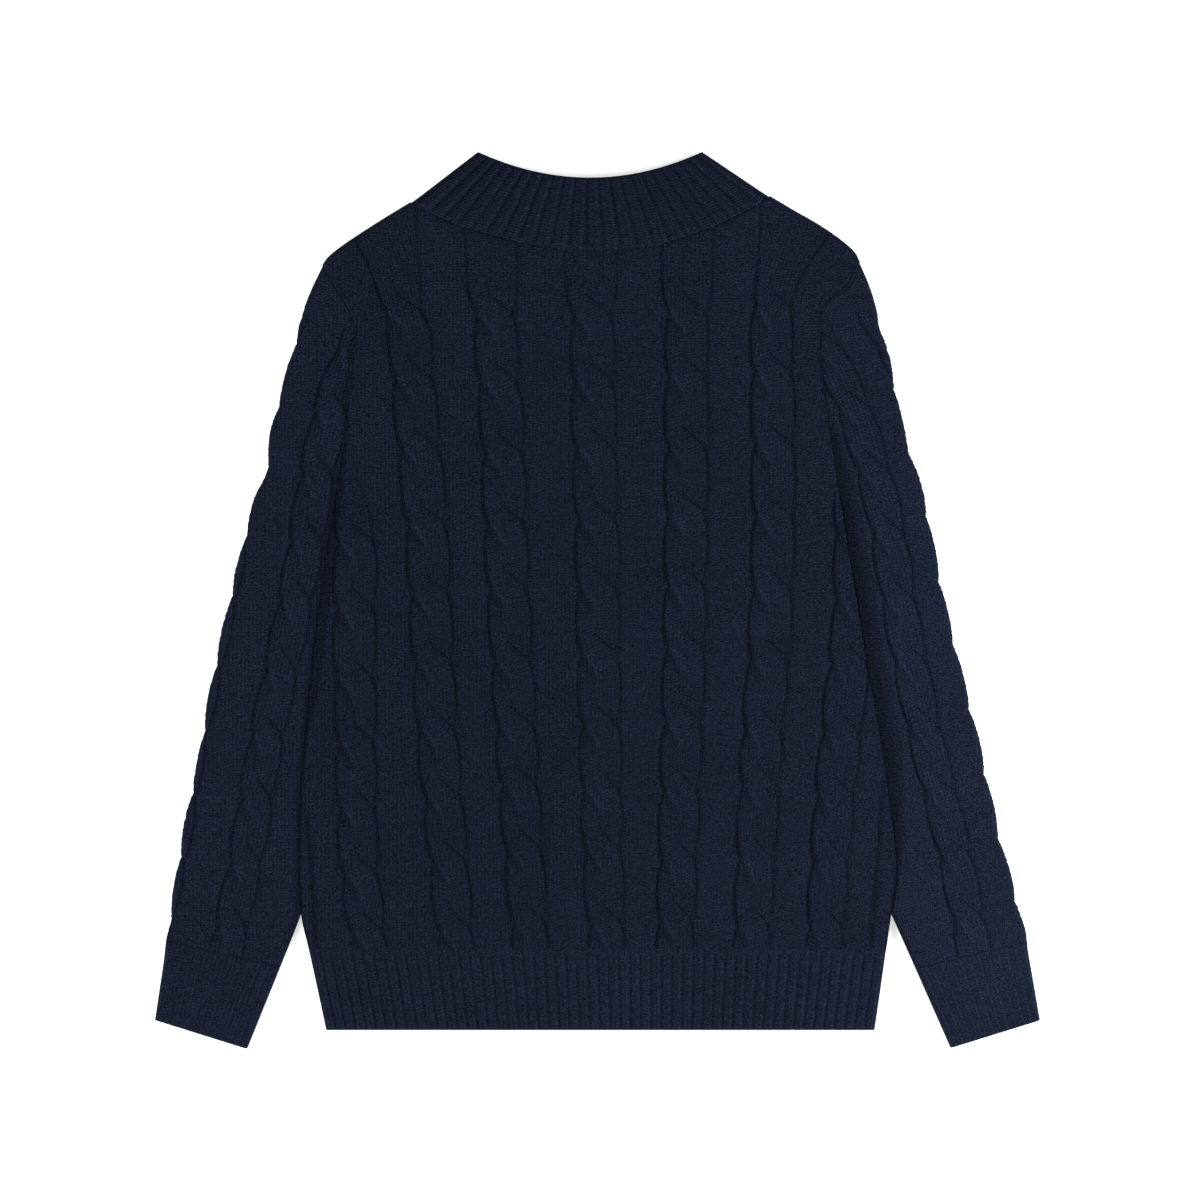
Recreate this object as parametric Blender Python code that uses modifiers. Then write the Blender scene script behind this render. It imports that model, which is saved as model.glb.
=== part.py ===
"""A full-zip sweater in cable knit, laid flat on its front and seen on its back.

The garment lies on the plane z = 0 with its collar towards +Y. The two fronts rest on that
plane, the back lies on them, and the sleeves lie beside the body as flattened tubes. Every
knitted piece is a wall: its outer face carries the rope cables or the ribs, and its inner
face is plain. The zip runs up the middle of the fronts, under the back.

Tables are in millimetres and give places on the laid garment: x to the right, y up the body
from the middle of its length. Each row is one place along an edge or one level of a cable.
"""

import math

import bmesh
import bpy
import numpy as np
from mathutils import Vector
from mathutils.geometry import delaunay_2d_cdt

MM = 0.001

# ---- heights over the surface that the garment lies on, in millimetres ----
FRONT_TOP = 4.1  # inner face of the fronts, and the floor of the slit in a sleeve
BACK_INNER = 4.5  # inner face of the back, and the roof of the slit in a sleeve
GROUND = 7.0  # outer face of the back in its purl gutters
CHANNEL_RISE = 0.9  # plain knit between the cables, over the gutters
STRAND_RISE = 2.1  # crown of a strand between crossings, over the gutters
OVER_RISE = 2.9  # crown of the strand that passes over, at a crossing
RIB_RISE = 1.1  # crown of a rib over the furrow beside it
RIB_GROUND = 6.9  # outer face in the furrows of the ribs
SEAM_GAP = 0.4  # clear space between two pieces at a seam

# ---- one rope cable ----
CROSS_IN = 14.0  # length over which a strand slides across, above a crossing
CROSS_HOLD = 5.0  # length below the crossing where it covers the whole rope
CROSS_OUT = 12.5  # length over which the hidden strand comes out again
CROSSING_REACH = 12.0  # how far up and down the rope a crossing swells it
VALLEY_WIDTH = 1.9  # half width of the furrow between two strands
GUTTER_WIDTH = 2.6  # purl gutter at each side of a rope
PLAIN_ABOVE = 18.0  # above the highest crossing by this much, the rope is still flat knit

# ---- how a wall's outer face comes down to its edge: share of its height left, and reach ----
EDGE = {"fold": (0.34, 5.0), "seam": (0.80, 1.6), "rim": (0.62, 1.8)}
UNDER_EDGE = {"fold": 1.7, "seam": 0.0, "rim": 0.4}  # lift of the underside at the edge
UNDER_REACH = 3.0  # how far in the underside is flat again
STEP = 10.0  # spacing of points along a plain edge
RING_INSETS = (1.1, 4.0)  # where the outer face is sampled as it rounds down to a fold
CLEAR = {"fold": 6.2, "seam": 2.4, "rim": 2.4}  # from an edge to the first sample of the knit
LEAST_SPACING = 2.2
SLIT_INSET = 3.8  # a tube's wall at its folds, beside the slit
CHAIN_REACH = 0.5  # how near a chain's place a point has to be, to be the chain's own

# ---- levels of the garment ----
HEM_Y = -301.0  # lower edge of the body
HEM_TOP_Y = -244.5  # where the hem's ribs end and the cables begin
HEM_ROWS = (HEM_Y + 4.0, HEM_Y + 28.0, HEM_TOP_Y - 2.0)
BODY_RIBS = 54
CUFF_RIBS = 12
CUFF_ROWS = (0.07, 0.5, 0.97)  # shares of the cuff's height

# ---- outlines: (x, y) along each edge ----
SIDE_LEFT = (  # lower hem corner, up the groove beside the sleeve, to the end of the armhole seam
    (-189.7, -301.0), (-196.1, -271.0), (-202.0, -244.0), (-207.2, -220.0), (-208.8, -186.0),
    (-208.0, -142.0), (-204.8, -98.0), (-199.8, -46.0), (-193.6, 5.0), (-187.3, 49.0),
    (-181.5, 84.0), (-175.6, 119.0), (-172.0, 161.0), (-169.0, 184.0),
)  # fmt: skip
SIDE_RIGHT = (
    (193.7, -301.0), (198.1, -271.0), (201.9, -244.0), (205.3, -220.0), (209.3, -186.0),
    (205.8, -142.0), (199.9, -95.0), (191.0, -46.0), (183.0, 5.0), (175.5, 49.0),
    (169.3, 90.0), (162.5, 130.0), (157.5, 165.0), (157.0, 190.0),
)  # fmt: skip
ARMHOLE_LEFT = ((-169.0, 184.0), (-168.6, 190.0), (-175.4, 205.0), (-184.0, 219.0), (-192.5, 234.0))
ARMHOLE_RIGHT = ((157.0, 190.0), (158.5, 203.0), (166.3, 211.8), (177.5, 221.0), (183.6, 236.0))
SHOULDER_LEFT = ((-192.5, 234.0), (-187.2, 240.7), (-173.0, 251.4), (-151.0, 265.5), (-130.5, 278.0))
SHOULDER_RIGHT = ((183.6, 236.0), (178.2, 244.8), (160.6, 258.6), (136.6, 272.6), (120.5, 282.2))
NECK_BACK = (
    (-130.5, 278.0), (-119.0, 271.3), (-95.0, 261.0), (-58.0, 250.8), (-26.0, 245.7), (12.0, 245.4),
    (44.0, 248.6), (80.0, 260.6), (106.0, 273.0), (120.5, 282.2),
)  # fmt: skip
NECK_FRONT = (
    (-130.5, 278.0), (-113.0, 257.0), (-86.0, 236.0), (-50.0, 221.5), (-2.0, 215.0),
    (44.0, 221.5), (78.0, 236.0), (103.0, 258.0), (120.5, 282.2),
)  # fmt: skip
SLEEVE_LEFT_OUTER = (  # from the shoulder down to the cuff's lower corner
    (-192.5, 234.0), (-200.7, 215.0), (-210.8, 183.0), (-221.0, 146.0), (-228.0, 120.0),
    (-231.9, 90.0), (-240.1, 69.0), (-250.3, 30.0), (-262.2, -21.0), (-271.6, -67.0),
    (-279.3, -112.0), (-288.0, -154.0), (-294.2, -191.0), (-301.0, -236.5), (-309.5, -294.0),
)  # fmt: skip
SLEEVE_LEFT_INNER = ((-245.0, -314.2), (-221.4, -256.0), (-212.1, -233.0), (-207.2, -220.0))
SLEEVE_RIGHT_OUTER = (
    (183.6, 236.0), (189.2, 222.5), (194.2, 205.0), (202.4, 175.0), (208.7, 147.0), (214.9, 117.0),
    (227.2, 76.0), (234.3, 43.0), (241.6, 5.0), (251.4, -37.0), (264.7, -91.0),
    (274.4, -134.0), (281.0, -165.0), (289.4, -196.0), (299.2, -236.0), (309.5, -294.2),
)  # fmt: skip
SLEEVE_RIGHT_INNER = ((246.9, -313.6), (221.4, -256.0), (211.6, -234.0), (205.3, -220.0))
CUFF_TOP_LEFT = ((-301.3, -238.7), (-221.6, -256.9))
CUFF_TOP_RIGHT = ((299.9, -239.3), (221.9, -257.8))

# ---- rope cables: (y, x of the middle) down each rope, and the level of each crossing ----
BODY_CROSSINGS = (205.0, 156.5, 108.0, 58.5, 10.0, -36.0, -84.0, -127.0, -172.0, -223.0)
ROPE_1 = ((62.0, -168.0), (-15.0, -169.8), (-84.0, -169.0), (-140.0, -168.2), (-190.0, -166.0),
          (-244.0, -159.0))  # fmt: skip
ROPE_1_CROSSINGS = (44.0, -2.0, -51.0, -96.0, -142.0, -188.0, -229.0)
ROPE_2 = ((250.0, -136.0), (189.0, -131.3), (119.0, -125.7), (49.0, -119.4), (-28.0, -115.6), (-98.0, -111.6),
          (-168.0, -105.4), (-244.0, -98.6))  # fmt: skip
ROPE_3 = ((250.0, -73.2), (189.0, -69.7), (119.0, -66.6), (49.0, -64.4), (-28.0, -60.6), (-98.0, -56.6),
          (-168.0, -52.2), (-244.0, -46.6))  # fmt: skip
ROPE_4 = ((250.0, -5.3), (189.0, -3.9), (119.0, -2.5), (49.0, -0.6), (-28.0, 0.5), (-98.0, 1.8),
          (-168.0, 3.4), (-244.0, 6.4))  # fmt: skip
ROPE_5 = ((250.0, 62.7), (189.0, 62.2), (119.0, 62.0), (49.0, 61.8), (-28.0, 60.6), (-98.0, 58.6),
          (-168.0, 56.4), (-244.0, 53.8))  # fmt: skip
ROPE_6 = ((250.0, 123.5), (189.0, 121.5), (119.0, 122.4), (49.0, 122.6), (-28.0, 120.0), (-98.0, 114.8),
          (-168.0, 111.0), (-244.0, 107.4))  # fmt: skip
ROPE_7 = ((80.0, 180.5), (0.0, 179.5), (-35.0, 176.5), (-84.0, 171.0), (-134.0, 166.0), (-179.0, 162.4),
          (-244.0, 158.0))  # fmt: skip
ROPE_7_CROSSINGS = (50.0, 4.0, -41.0, -89.0, -133.5, -179.0, -224.5)
SLEEVE_LEFT_ROPE = ((196.0, -162.0), (150.0, -181.0), (114.0, -190.5), (73.0, -198.5), (28.0, -205.8),
                    (-25.0, -216.0), (-92.0, -230.3), (-135.0, -238.0), (-180.0, -245.3), (-252.0, -261.0))  # fmt: skip
SLEEVE_LEFT_CROSSINGS = (179.0, 135.0, 90.7, 45.0, 3.0, -46.0, -92.0, -135.0, -180.0, -224.5)
SLEEVE_RIGHT_ROPE = ((212.0, 140.0), (187.0, 153.3), (157.0, 168.8), (128.0, 181.0), (105.0, 188.0),
                     (63.0, 199.5), (23.0, 206.5), (-28.0, 215.2), (-93.0, 228.6), (-135.0, 238.7),
                     (-180.0, 249.8), (-250.0, 264.0))  # fmt: skip
SLEEVE_RIGHT_CROSSINGS = (182.0, 138.3, 94.2, 50.0, 4.0, -39.0, -85.0, -130.0, -175.4, -219.0)
BODY_ROPE_HALF = ((250.0, 15.6), (120.0, 16.0), (-28.0, 15.2), (-170.0, 14.3), (-244.0, 13.4))
OUTER_ROPE_FLARE = ((150.0, 0.0), (198.0, 0.0), (224.0, 6.5), (254.0, 17.0), (262.0, 20.0))  # (y, extra width)
SLEEVE_ROPE_HALF = ((200.0, 13.2), (-244.0, 12.6))
SLEEVE_LEFT_SPACING = ((200.0, 53.0), (-252.0, 53.0))  # (y, from the visible rope to the one on the fold)
SLEEVE_RIGHT_SPACING = ((212.0, 46.5), (150.0, 48.0), (60.0, 53.0), (-252.0, 55.0))
SLEEVE_CHANNELS = (-20.0, 26.0)  # from the visible rope to the middle of the plain knit on each side

# ---- collar ----
COLLAR_FOLD_LEFT = ((-130.5, 278.0), (-83.7, 313.0))  # seam end and top corner of the fold
COLLAR_FOLD_RIGHT = ((120.5, 282.2), (73.2, 313.0))
COLLAR_MIDDLE_X = -5.3
COLLAR_BACK_DIP_Y = 295.0  # lowest place of the top edge at the back
COLLAR_FRONT_DIP_Y = 265.0  # and at the front, which the back hides
COLLAR_RIBS = 23
COLLAR_GROUND = 7.1
COLLAR_LEVELS = 4
COLLAR_FRONT_STEPS = 8
COLLAR_FOLD_FLAT = 4.0  # from the fold to where the underside is flat
COLLAR_LIP = 0.8
COLLAR_FOLD_SHARE = 0.52  # share of the band's height left at the fold itself

# ---- zip ----
ZIP_X = -2.0  # middle line of the zip
ZIP_PLANE = 3.44  # height of the middle of the chain
TRENCH_HALF = 5.0  # from the middle line to the edge of each front
TAPE_INNER = 2.9
TAPE_OUTER = 16.0
TAPE_THICK = 0.7
TAPE_SEAT_TOP = 2.75  # the front's inner face where the tape lies on it
TAPE_SEAT = 17.0
SEAT_STEP = 0.8
CHAIN_HALF = 2.6
CHAIN_THICK = 1.2
CHAIN_TOP_Y = 250.0
BOX_LENGTH = 9.0
BOX_THICK = 1.5
SLIDER_Y = 256.5  # middle of the slider, which is at the top of the closed zip
SLIDER_LENGTH = 10.0
SLIDER_WIDTH = 7.2
PLATE_THICK = 0.55
SLIDER_SLOT = 1.5
POST_LENGTH = 2.4
POST_WIDTH = 2.2
BAIL_INNER = 0.82  # the bail that holds the pull: a strap bent round the pull's bar
BAIL_THICK = 0.45
BAIL_WIDTH = 1.6
PULL_THICK = 0.8
PULL_WIDTH = 5.0
PULL_LENGTH = 25.0
PULL_EYE_LENGTH = 2.2
PULL_EYE_WIDTH = 2.4
PULL_HOLE_RADIUS = 1.4
SLIDER_HOLLOW_RISE = 0.9  # the back's inner face arches over the slider by this
SLIDER_HOLLOW_REACH = 16.0

WOOL_COLOUR = (0.0098, 0.0140, 0.0273, 1.0)
TAPE_COLOUR = (0.0090, 0.0120, 0.0220, 1.0)
METAL_COLOUR = (0.30, 0.30, 0.31, 1.0)


# ---------------------------------------------------------------- curves
def spline(rows, step):
    """Points about a step apart on a smooth curve through the rows, first and last included."""
    knots = np.array([rows[0], *rows, rows[-1]], float)
    knots[0] += knots[0] - knots[2]
    knots[-1] += knots[-1] - knots[-3]
    dense = []
    for before, start, end, after in zip(knots, knots[1:], knots[2:], knots[3:], strict=False):
        for t in np.linspace(0, 1, 24, endpoint=False):
            slope_in = (end - before) / 2
            slope_out = (after - start) / 2
            dense.append(
                (2 * t**3 - 3 * t**2 + 1) * start
                + (t**3 - 2 * t**2 + t) * slope_in
                + (3 * t**2 - 2 * t**3) * end
                + (t**3 - t**2) * slope_out
            )
    dense.append(knots[-2])
    dense = np.array(dense)
    travelled = np.concatenate([[0], np.cumsum(np.linalg.norm(np.diff(dense, axis=0), axis=1))])
    count = max(1, round(travelled[-1] / step))
    wanted = np.linspace(0, travelled[-1], count + 1)
    return np.stack([np.interp(wanted, travelled, dense[:, k]) for k in (0, 1)], axis=1)


def track(rows):
    """A function that gives the second column of the rows, smoothly, at any value of the first."""
    dense = spline(rows, 2.0)
    dense = dense[np.argsort(dense[:, 0])]
    return lambda value: np.interp(value, dense[:, 0], dense[:, 1])


def line(start, end, count):
    share = np.linspace(0, 1, count + 1)[:, None]
    return np.array(start) * (1 - share) + np.array(end) * share


def across_quad(ends, tops, x, y):
    """Share of the way across a four-sided band, from its first side to its second, at a point."""
    across, up = np.full(np.shape(x), 0.5), np.full(np.shape(x), 0.5)
    twist = ends[0] - ends[1] - tops[0] + tops[1]
    for _ in range(6):
        by_across = (ends[1] - ends[0]) + np.multiply.outer(up, twist)
        by_up = (tops[0] - ends[0]) + np.multiply.outer(across, twist)
        at = ends[0] + np.multiply.outer(across, ends[1] - ends[0]) + by_up * np.asarray(up)[..., None]
        miss_x, miss_y = x - at[..., 0], y - at[..., 1]
        area = by_across[..., 0] * by_up[..., 1] - by_across[..., 1] * by_up[..., 0]
        across = across + (miss_x * by_up[..., 1] - miss_y * by_up[..., 0]) / area
        up = up + (by_across[..., 0] * miss_y - by_across[..., 1] * miss_x) / area
    return across


def distance_to(points, path):
    """Distance of each point from an open path."""
    points = np.asarray(points, float).reshape(-1, 1, 2)
    starts = path[None, :-1]
    runs = (path[1:] - path[:-1])[None]
    share = ((points - starts) * runs).sum(2) / np.maximum((runs * runs).sum(2), 1e-12)
    feet = starts + np.clip(share, 0, 1)[..., None] * runs
    return np.linalg.norm(points - feet, axis=2).min(axis=1)


def inside(points, outline):
    """Which points lie in the closed outline."""
    x, y = np.asarray(points, float).T
    result = np.zeros(len(x), bool)
    for (x0, y0), (x1, y1) in zip(outline, np.roll(outline, -1, axis=0), strict=True):
        crosses = (y0 > y) != (y1 > y)
        with np.errstate(divide="ignore", invalid="ignore"):
            result ^= crosses & (x < (x1 - x0) * (y - y0) / (y1 - y0) + x0)
    return result


def inset(outline, amount):
    """The closed outline, which turns anticlockwise, moved inwards."""
    ahead = np.roll(outline, -1, axis=0) - outline
    behind = outline - np.roll(outline, 1, axis=0)
    ahead /= np.linalg.norm(ahead, axis=1)[:, None]
    behind /= np.linalg.norm(behind, axis=1)[:, None]
    along = ahead + behind
    along /= np.linalg.norm(along, axis=1)[:, None]
    stretch = 1 / np.maximum((along * ahead).sum(1), 0.6)
    return outline + np.stack([-along[:, 1], along[:, 0]], axis=1) * (amount * stretch)[:, None]


# ---------------------------------------------------------------- knit
class Rope:
    """A cable of two strands: where its middle is, how wide it is and where its strands cross."""

    def __init__(self, middle, half, crossings, flare_side=0, flare=((-400.0, 0.0), (400.0, 0.0))):
        self.middle = track(middle)
        self.half = track(half)
        self.flare_side = flare_side
        self.flare = track(flare)
        self.crossings = np.array(crossings)
        self.top = middle[0][0]

    def across(self, x, y):
        """Place across the rope, -1 at its left gutter and 1 at its right one."""
        aside = x - self.middle(y)
        return aside / (self.half(y) + np.where(aside * self.flare_side > 0, self.flare(y), 0.0))

    def phase(self, y):
        """Lengths down from the crossing above and up from the crossing below."""
        levels = self.crossings
        below = np.searchsorted(-levels, -y)
        gap_down = np.where(below > 0, levels[np.maximum(below - 1, 0)] - y, 1e3)
        gap_up = np.where(below < len(levels), y - levels[np.minimum(below, len(levels) - 1)], 1e3)
        return gap_down, gap_up

    def valley(self, y):
        """Place across the rope of the furrow between its strands."""
        gap_down, gap_up = self.phase(y)
        leaving = -1 + (gap_down - CROSS_HOLD) / CROSS_OUT
        place = np.clip(leaving, -1, 0)
        return np.where(gap_up < CROSS_IN, np.maximum(place, 1 - gap_up / CROSS_IN), place)

    def rise(self, x, y):
        """Height of the rope over its gutters."""
        across = self.across(x, y)
        gap_down, gap_up = self.phase(y)
        furrow = self.valley(y)
        swell = np.exp(-((np.minimum(gap_down, gap_up) / CROSSING_REACH) ** 2))
        right = 1 / (1 + np.exp(-(across - furrow) * self.half(y) / 1.2))
        over_is_left = gap_up < gap_down
        over = np.where(over_is_left, 1 - right, right)
        crown = STRAND_RISE + swell * ((OVER_RISE - STRAND_RISE) * over - 0.8 * (1 - over))
        body = np.clip(1 - np.abs(across) ** 3.0, 0, 1) ** 0.7
        depth = 0.55 + 0.65 * swell
        ditch = depth * np.exp(-(((across - furrow) * self.half(y) / VALLEY_WIDTH) ** 2))
        plain = np.clip((y - self.crossings[0] - PLAIN_ABOVE) / 8.0, 0, 1)
        rope = np.maximum(crown - ditch, 0.2) * body
        return rope * (1 - plain) + CHANNEL_RISE * np.clip(1 - np.abs(across) ** 6, 0, 1) * plain

    def samples(self):
        """Places that catch the rope's form, a few rows to each crossing."""
        found = []
        lowest = HEM_TOP_Y + 3
        rows = [level - down for level in self.crossings for down in (-14, -7, 0, 5, 11, 17.5, 26)]
        rows += list(np.arange(self.crossings[0] + 26, self.top, 14.0))
        for y in rows:
            if y < lowest:
                continue
            furrow = float(self.valley(np.array(y)))
            ditch = furrow if abs(furrow) < 0.8 else 0.0
            shares = (-1.1, (ditch - 1) * 0.55, ditch, ditch + (1 - ditch) * 0.55, 1.1)
            for share in shares:
                extra = float(self.flare(y)) if share * self.flare_side > 0 else 0.0
                found.append((self.middle(y) + share * (self.half(y) + extra), y))
        return found


def knit_rise(ropes, x, y):
    """Height over the gutters of a panel with ropes and plain channels between them."""
    rise = np.full(np.shape(x), CHANNEL_RISE)
    for rope in ropes:
        beside = (np.abs(rope.across(x, y)) - 1) * rope.half(y)
        gutter = CHANNEL_RISE * (1 - np.exp(-((np.maximum(beside, 0) / GUTTER_WIDTH) ** 2)))
        rise = np.where(y < rope.top, np.minimum(rise, gutter), rise)
    for rope in ropes:
        on_rope = (y < rope.top) & (np.abs(rope.across(x, y)) < 1)
        rise = np.where(on_rope, rope.rise(x, y), rise)
    return rise


def rib_rise(place):
    """Height of ribs over their furrows, with a whole number of the place on each furrow."""
    return RIB_RISE * np.abs(np.sin(math.pi * place)) ** 0.8


# ---------------------------------------------------------------- solids
def collection(name, hidden=False):
    made = bpy.data.collections.new(name)
    made.hide_render = hidden
    bpy.context.scene.collection.children.link(made)
    return made


def material(name, colour, roughness, metallic):
    made = bpy.data.materials.new(name)
    made.use_nodes = True
    shader = made.node_tree.nodes["Principled BSDF"]
    shader.inputs["Base Color"].default_value = colour
    shader.inputs["Roughness"].default_value = roughness
    shader.inputs["Metallic"].default_value = metallic
    return made


def add_object(name, mesh, look, home):
    made = bpy.data.objects.new(name, mesh)
    mesh.materials.append(look)
    home.objects.link(made)
    return made


def mesh_from(name, points, faces):
    """A mesh of millimetre points, its faces turned outwards."""
    grid = bmesh.new()
    verts = [grid.verts.new(Vector(point) * MM) for point in points]
    for face in faces:
        grid.faces.new([verts[k] for k in face])
    bmesh.ops.recalc_face_normals(grid, faces=grid.faces)
    mesh = bpy.data.meshes.new(name)
    grid.to_mesh(mesh)
    grid.free()
    return mesh


def triangulate(outline, extra, chains=()):
    """Triangles that fill the outline and use the extra places inside it.

    A chain is a path of places that no triangle crosses. A place of it that isn't in use is passed over.
    """
    count = len(outline)
    places = [Vector(p) for p in outline] + [Vector(p) for p in extra]
    edges = [(k, (k + 1) % count) for k in range(count)]
    for chain in chains:
        gaps = [np.linalg.norm(np.array(places) - place, axis=1) for place in chain]
        path = [int(np.argmin(gap)) for gap in gaps if gap.min() < CHAIN_REACH]
        edges += list(zip(path, path[1:], strict=False))
    points, _, faces, origins, _, _ = delaunay_2d_cdt(places, edges, [], 1, 1e-5)
    if len(points) != len(places):
        raise ValueError(f"places coincide: {len(points)} left of {len(places)}")
    order = [source[0] for source in origins]
    return [tuple(order[k] for k in face) for face in faces]


class Slab:
    """A laid piece of cloth between an outer and an inner face, from runs of its outline.

    A run is (kind, points), the kinds being those in EDGE, and the runs follow one another
    anticlockwise. The outer face stands at `ground` and above it by `rise(x, y)`, and comes
    down towards `floor` at the edges.
    """

    def __init__(self, runs, floor, ground, rise):
        self.kinds = [kind for kind, path in runs for _ in path[:-1]]
        self.run_of = [k for k, (_, path) in enumerate(runs) for _ in path[:-1]]
        self.outline = inset(np.concatenate([path[:-1] for _, path in runs]), SEAM_GAP / 2)
        self.floor = floor
        self.ground = ground
        self.rise = rise

    def edge_distance(self, points, kind):
        """Distance of each point from the nearest edge of a kind."""
        closed = np.concatenate([self.outline, self.outline[:1]])
        own = [k for k, each in enumerate(self.kinds) if each == kind]
        if not own:
            return np.full(len(points), 1e6)
        return np.min([distance_to(points, closed[k : k + 2]) for k in own], axis=0)

    def outer(self, points):
        """Height of the outer face."""
        points = np.asarray(points, float)
        left = np.ones(len(points))
        for kind, (start, reach) in EDGE.items():
            near = np.clip(self.edge_distance(points, kind) / reach, 0, 1)
            left = np.minimum(left, start + (1 - start) * np.sqrt(1 - (1 - near) ** 2))
        full = self.ground + self.rise(points[:, 0], points[:, 1]) - self.floor
        return self.floor + full * left

    def settle(self, samples):
        """Places along the folds, then the samples that stay clear of the edges and each other."""
        rings = np.concatenate([inset(self.outline, amount) for amount in RING_INSETS])
        rings = rings[self.edge_distance(rings, "fold") < RING_INSETS[-1] * 1.1]
        rings = rings[self.edge_distance(rings, "seam") > 0.9]
        rings = rings[self.edge_distance(rings, "rim") > 0.9]
        samples = np.array(samples, float)
        for kind, clear in CLEAR.items():
            samples = samples[self.edge_distance(samples, kind) > clear]
        places = np.concatenate([rings, samples])
        return spaced(places[inside(places, self.outline)], LEAST_SPACING * 0.4, LEAST_SPACING, len(rings))


def spaced(places, least_first, least, first):
    """The places in order, without any that is too near an earlier one."""
    kept = np.empty((0, 2))
    for k, place in enumerate(places):
        gap = least_first if k < first else least
        if len(kept) == 0 or ((kept - place) ** 2).sum(1).min() > gap**2:
            kept = np.concatenate([kept, place[None]])
    return kept


def walls(low, high, count):
    return [(low + k, low + (k + 1) % count, high + (k + 1) % count, high + k) for k in range(count)]


def slab_mesh(name, slab, samples, under_places, under_height, slit_runs=(), chains=()):
    """The closed solid of a slab, with a flat slit through it where two end runs are named."""
    count = len(slab.outline)
    tops = np.concatenate([slab.outline, slab.settle(samples)])
    unders = np.concatenate([slab.outline, np.reshape(under_places, (-1, 2))])
    points = [(*place, z) for place, z in zip(tops, slab.outer(tops), strict=True)]
    low = len(points)
    points += [(*place, under_height(place, k)) for k, place in enumerate(unders)]
    faces = triangulate(slab.outline, tops[count:], chains)
    faces += [tuple(low + k for k in face) for face in triangulate(slab.outline, unders[count:])]
    sides = walls(low, 0, count)
    if not slit_runs:
        return mesh_from(name, points, faces + sides)

    moved = inset(slab.outline, SLIT_INSET)
    loop = []
    mouths = {}
    for run in sorted(set(slab.run_of)):
        own = [k for k in range(count) if slab.run_of[k] == run]
        if run in slit_runs:
            ends = slab.outline[own[0]], slab.outline[(own[-1] + 1) % count]
            mouth = [k for k in own if min(np.linalg.norm(slab.outline[k] - e) for e in ends) > SLIT_INSET]
            loop += [(k, slab.outline[k], run) for k in mouth]
            mouths[run] = mouth
        else:
            closed = np.concatenate([slab.outline, slab.outline[:1]])
            for k in own:
                clear = [distance_to([moved[k]], closed[j : j + 2])[0]
                         for j in range(count) if slab.run_of[j] in slit_runs]  # fmt: skip
                if min(clear) > SLIT_INSET:
                    loop.append((None, moved[k], None))
    floor_start = len(points)
    points += [(*place, FRONT_TOP) for _, place, _ in loop]
    roof_start = len(points)
    points += [(*place, BACK_INNER) for _, place, _ in loop]
    floor_at = {k: floor_start + j for j, (k, _, _) in enumerate(loop) if k is not None}
    roof_at = {k: roof_start + j for j, (k, _, _) in enumerate(loop) if k is not None}
    faces.append(tuple(range(floor_start, roof_start)))
    faces.append(tuple(range(roof_start, roof_start + len(loop))))
    for j, (_, _, run) in enumerate(loop):
        after = (j + 1) % len(loop)
        if run is None or loop[after][2] != run:
            faces.append((floor_start + j, floor_start + after, roof_start + after, roof_start + j))
    for k, side in enumerate(sides):
        after = (k + 1) % count
        here, there = k in floor_at, after in floor_at
        if here and there:
            faces.append((low + k, low + after, floor_at[after], floor_at[k]))
            faces.append((roof_at[k], roof_at[after], after, k))
        elif there:
            faces.append((low + k, low + after, floor_at[after], roof_at[after], after, k))
        elif here:
            faces.append((low + k, low + after, after, k, roof_at[k], floor_at[k]))
        else:
            faces.append(side)
    return mesh_from(name, points, faces)


def flat_under(slab):
    """Places and heights of an underside that rests on the surface and lifts at its edges."""
    ring = inset(slab.outline, UNDER_REACH)
    ring = ring[inside(ring, slab.outline)]
    closed = np.concatenate([slab.outline, slab.outline[:1]])
    ring = ring[distance_to(ring, closed) > UNDER_REACH * 0.9]
    ring = spaced(ring, 1.0, 1.0, 0)
    count = len(slab.outline)

    def height(_, k):
        if k >= count:
            return 0.0
        return min(UNDER_EDGE[slab.kinds[k]], UNDER_EDGE[slab.kinds[k - 1]])

    return ring, height


# ---------------------------------------------------------------- shared edges
side_left = spline(SIDE_LEFT, STEP)
side_right = spline(SIDE_RIGHT, STEP)
crotch_left = int(np.argmin(np.abs(side_left[:, 1] - SLEEVE_LEFT_INNER[-1][1])))
crotch_right = int(np.argmin(np.abs(side_right[:, 1] - SLEEVE_RIGHT_INNER[-1][1])))
armhole_left = spline(ARMHOLE_LEFT, STEP * 0.7)
armhole_right = spline(ARMHOLE_RIGHT, STEP * 0.7)
shoulder_left = spline(SHOULDER_LEFT, STEP)
shoulder_right = spline(SHOULDER_RIGHT, STEP)
neck_back = spline(NECK_BACK, STEP * 0.8)
neck_front = spline(NECK_FRONT, STEP * 0.8)
hem = line(SIDE_LEFT[0], SIDE_RIGHT[0], 2 * BODY_RIBS)
body_left = track([(y, x) for x, y in SIDE_LEFT])
body_right = track([(y, x) for x, y in SIDE_RIGHT])


# ---------------------------------------------------------------- back
body_ropes = [
    Rope(ROPE_1, BODY_ROPE_HALF, ROPE_1_CROSSINGS),
    Rope(ROPE_2, BODY_ROPE_HALF, BODY_CROSSINGS, -1, OUTER_ROPE_FLARE),
    *[Rope(rows, BODY_ROPE_HALF, BODY_CROSSINGS) for rows in (ROPE_3, ROPE_4, ROPE_5)],
    Rope(ROPE_6, BODY_ROPE_HALF, BODY_CROSSINGS, 1, OUTER_ROPE_FLARE),
    Rope(ROPE_7, BODY_ROPE_HALF, ROPE_7_CROSSINGS),
]


def body_rib_place(x, y):
    return BODY_RIBS * (x - body_left(y)) / (body_right(y) - body_left(y))


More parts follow.
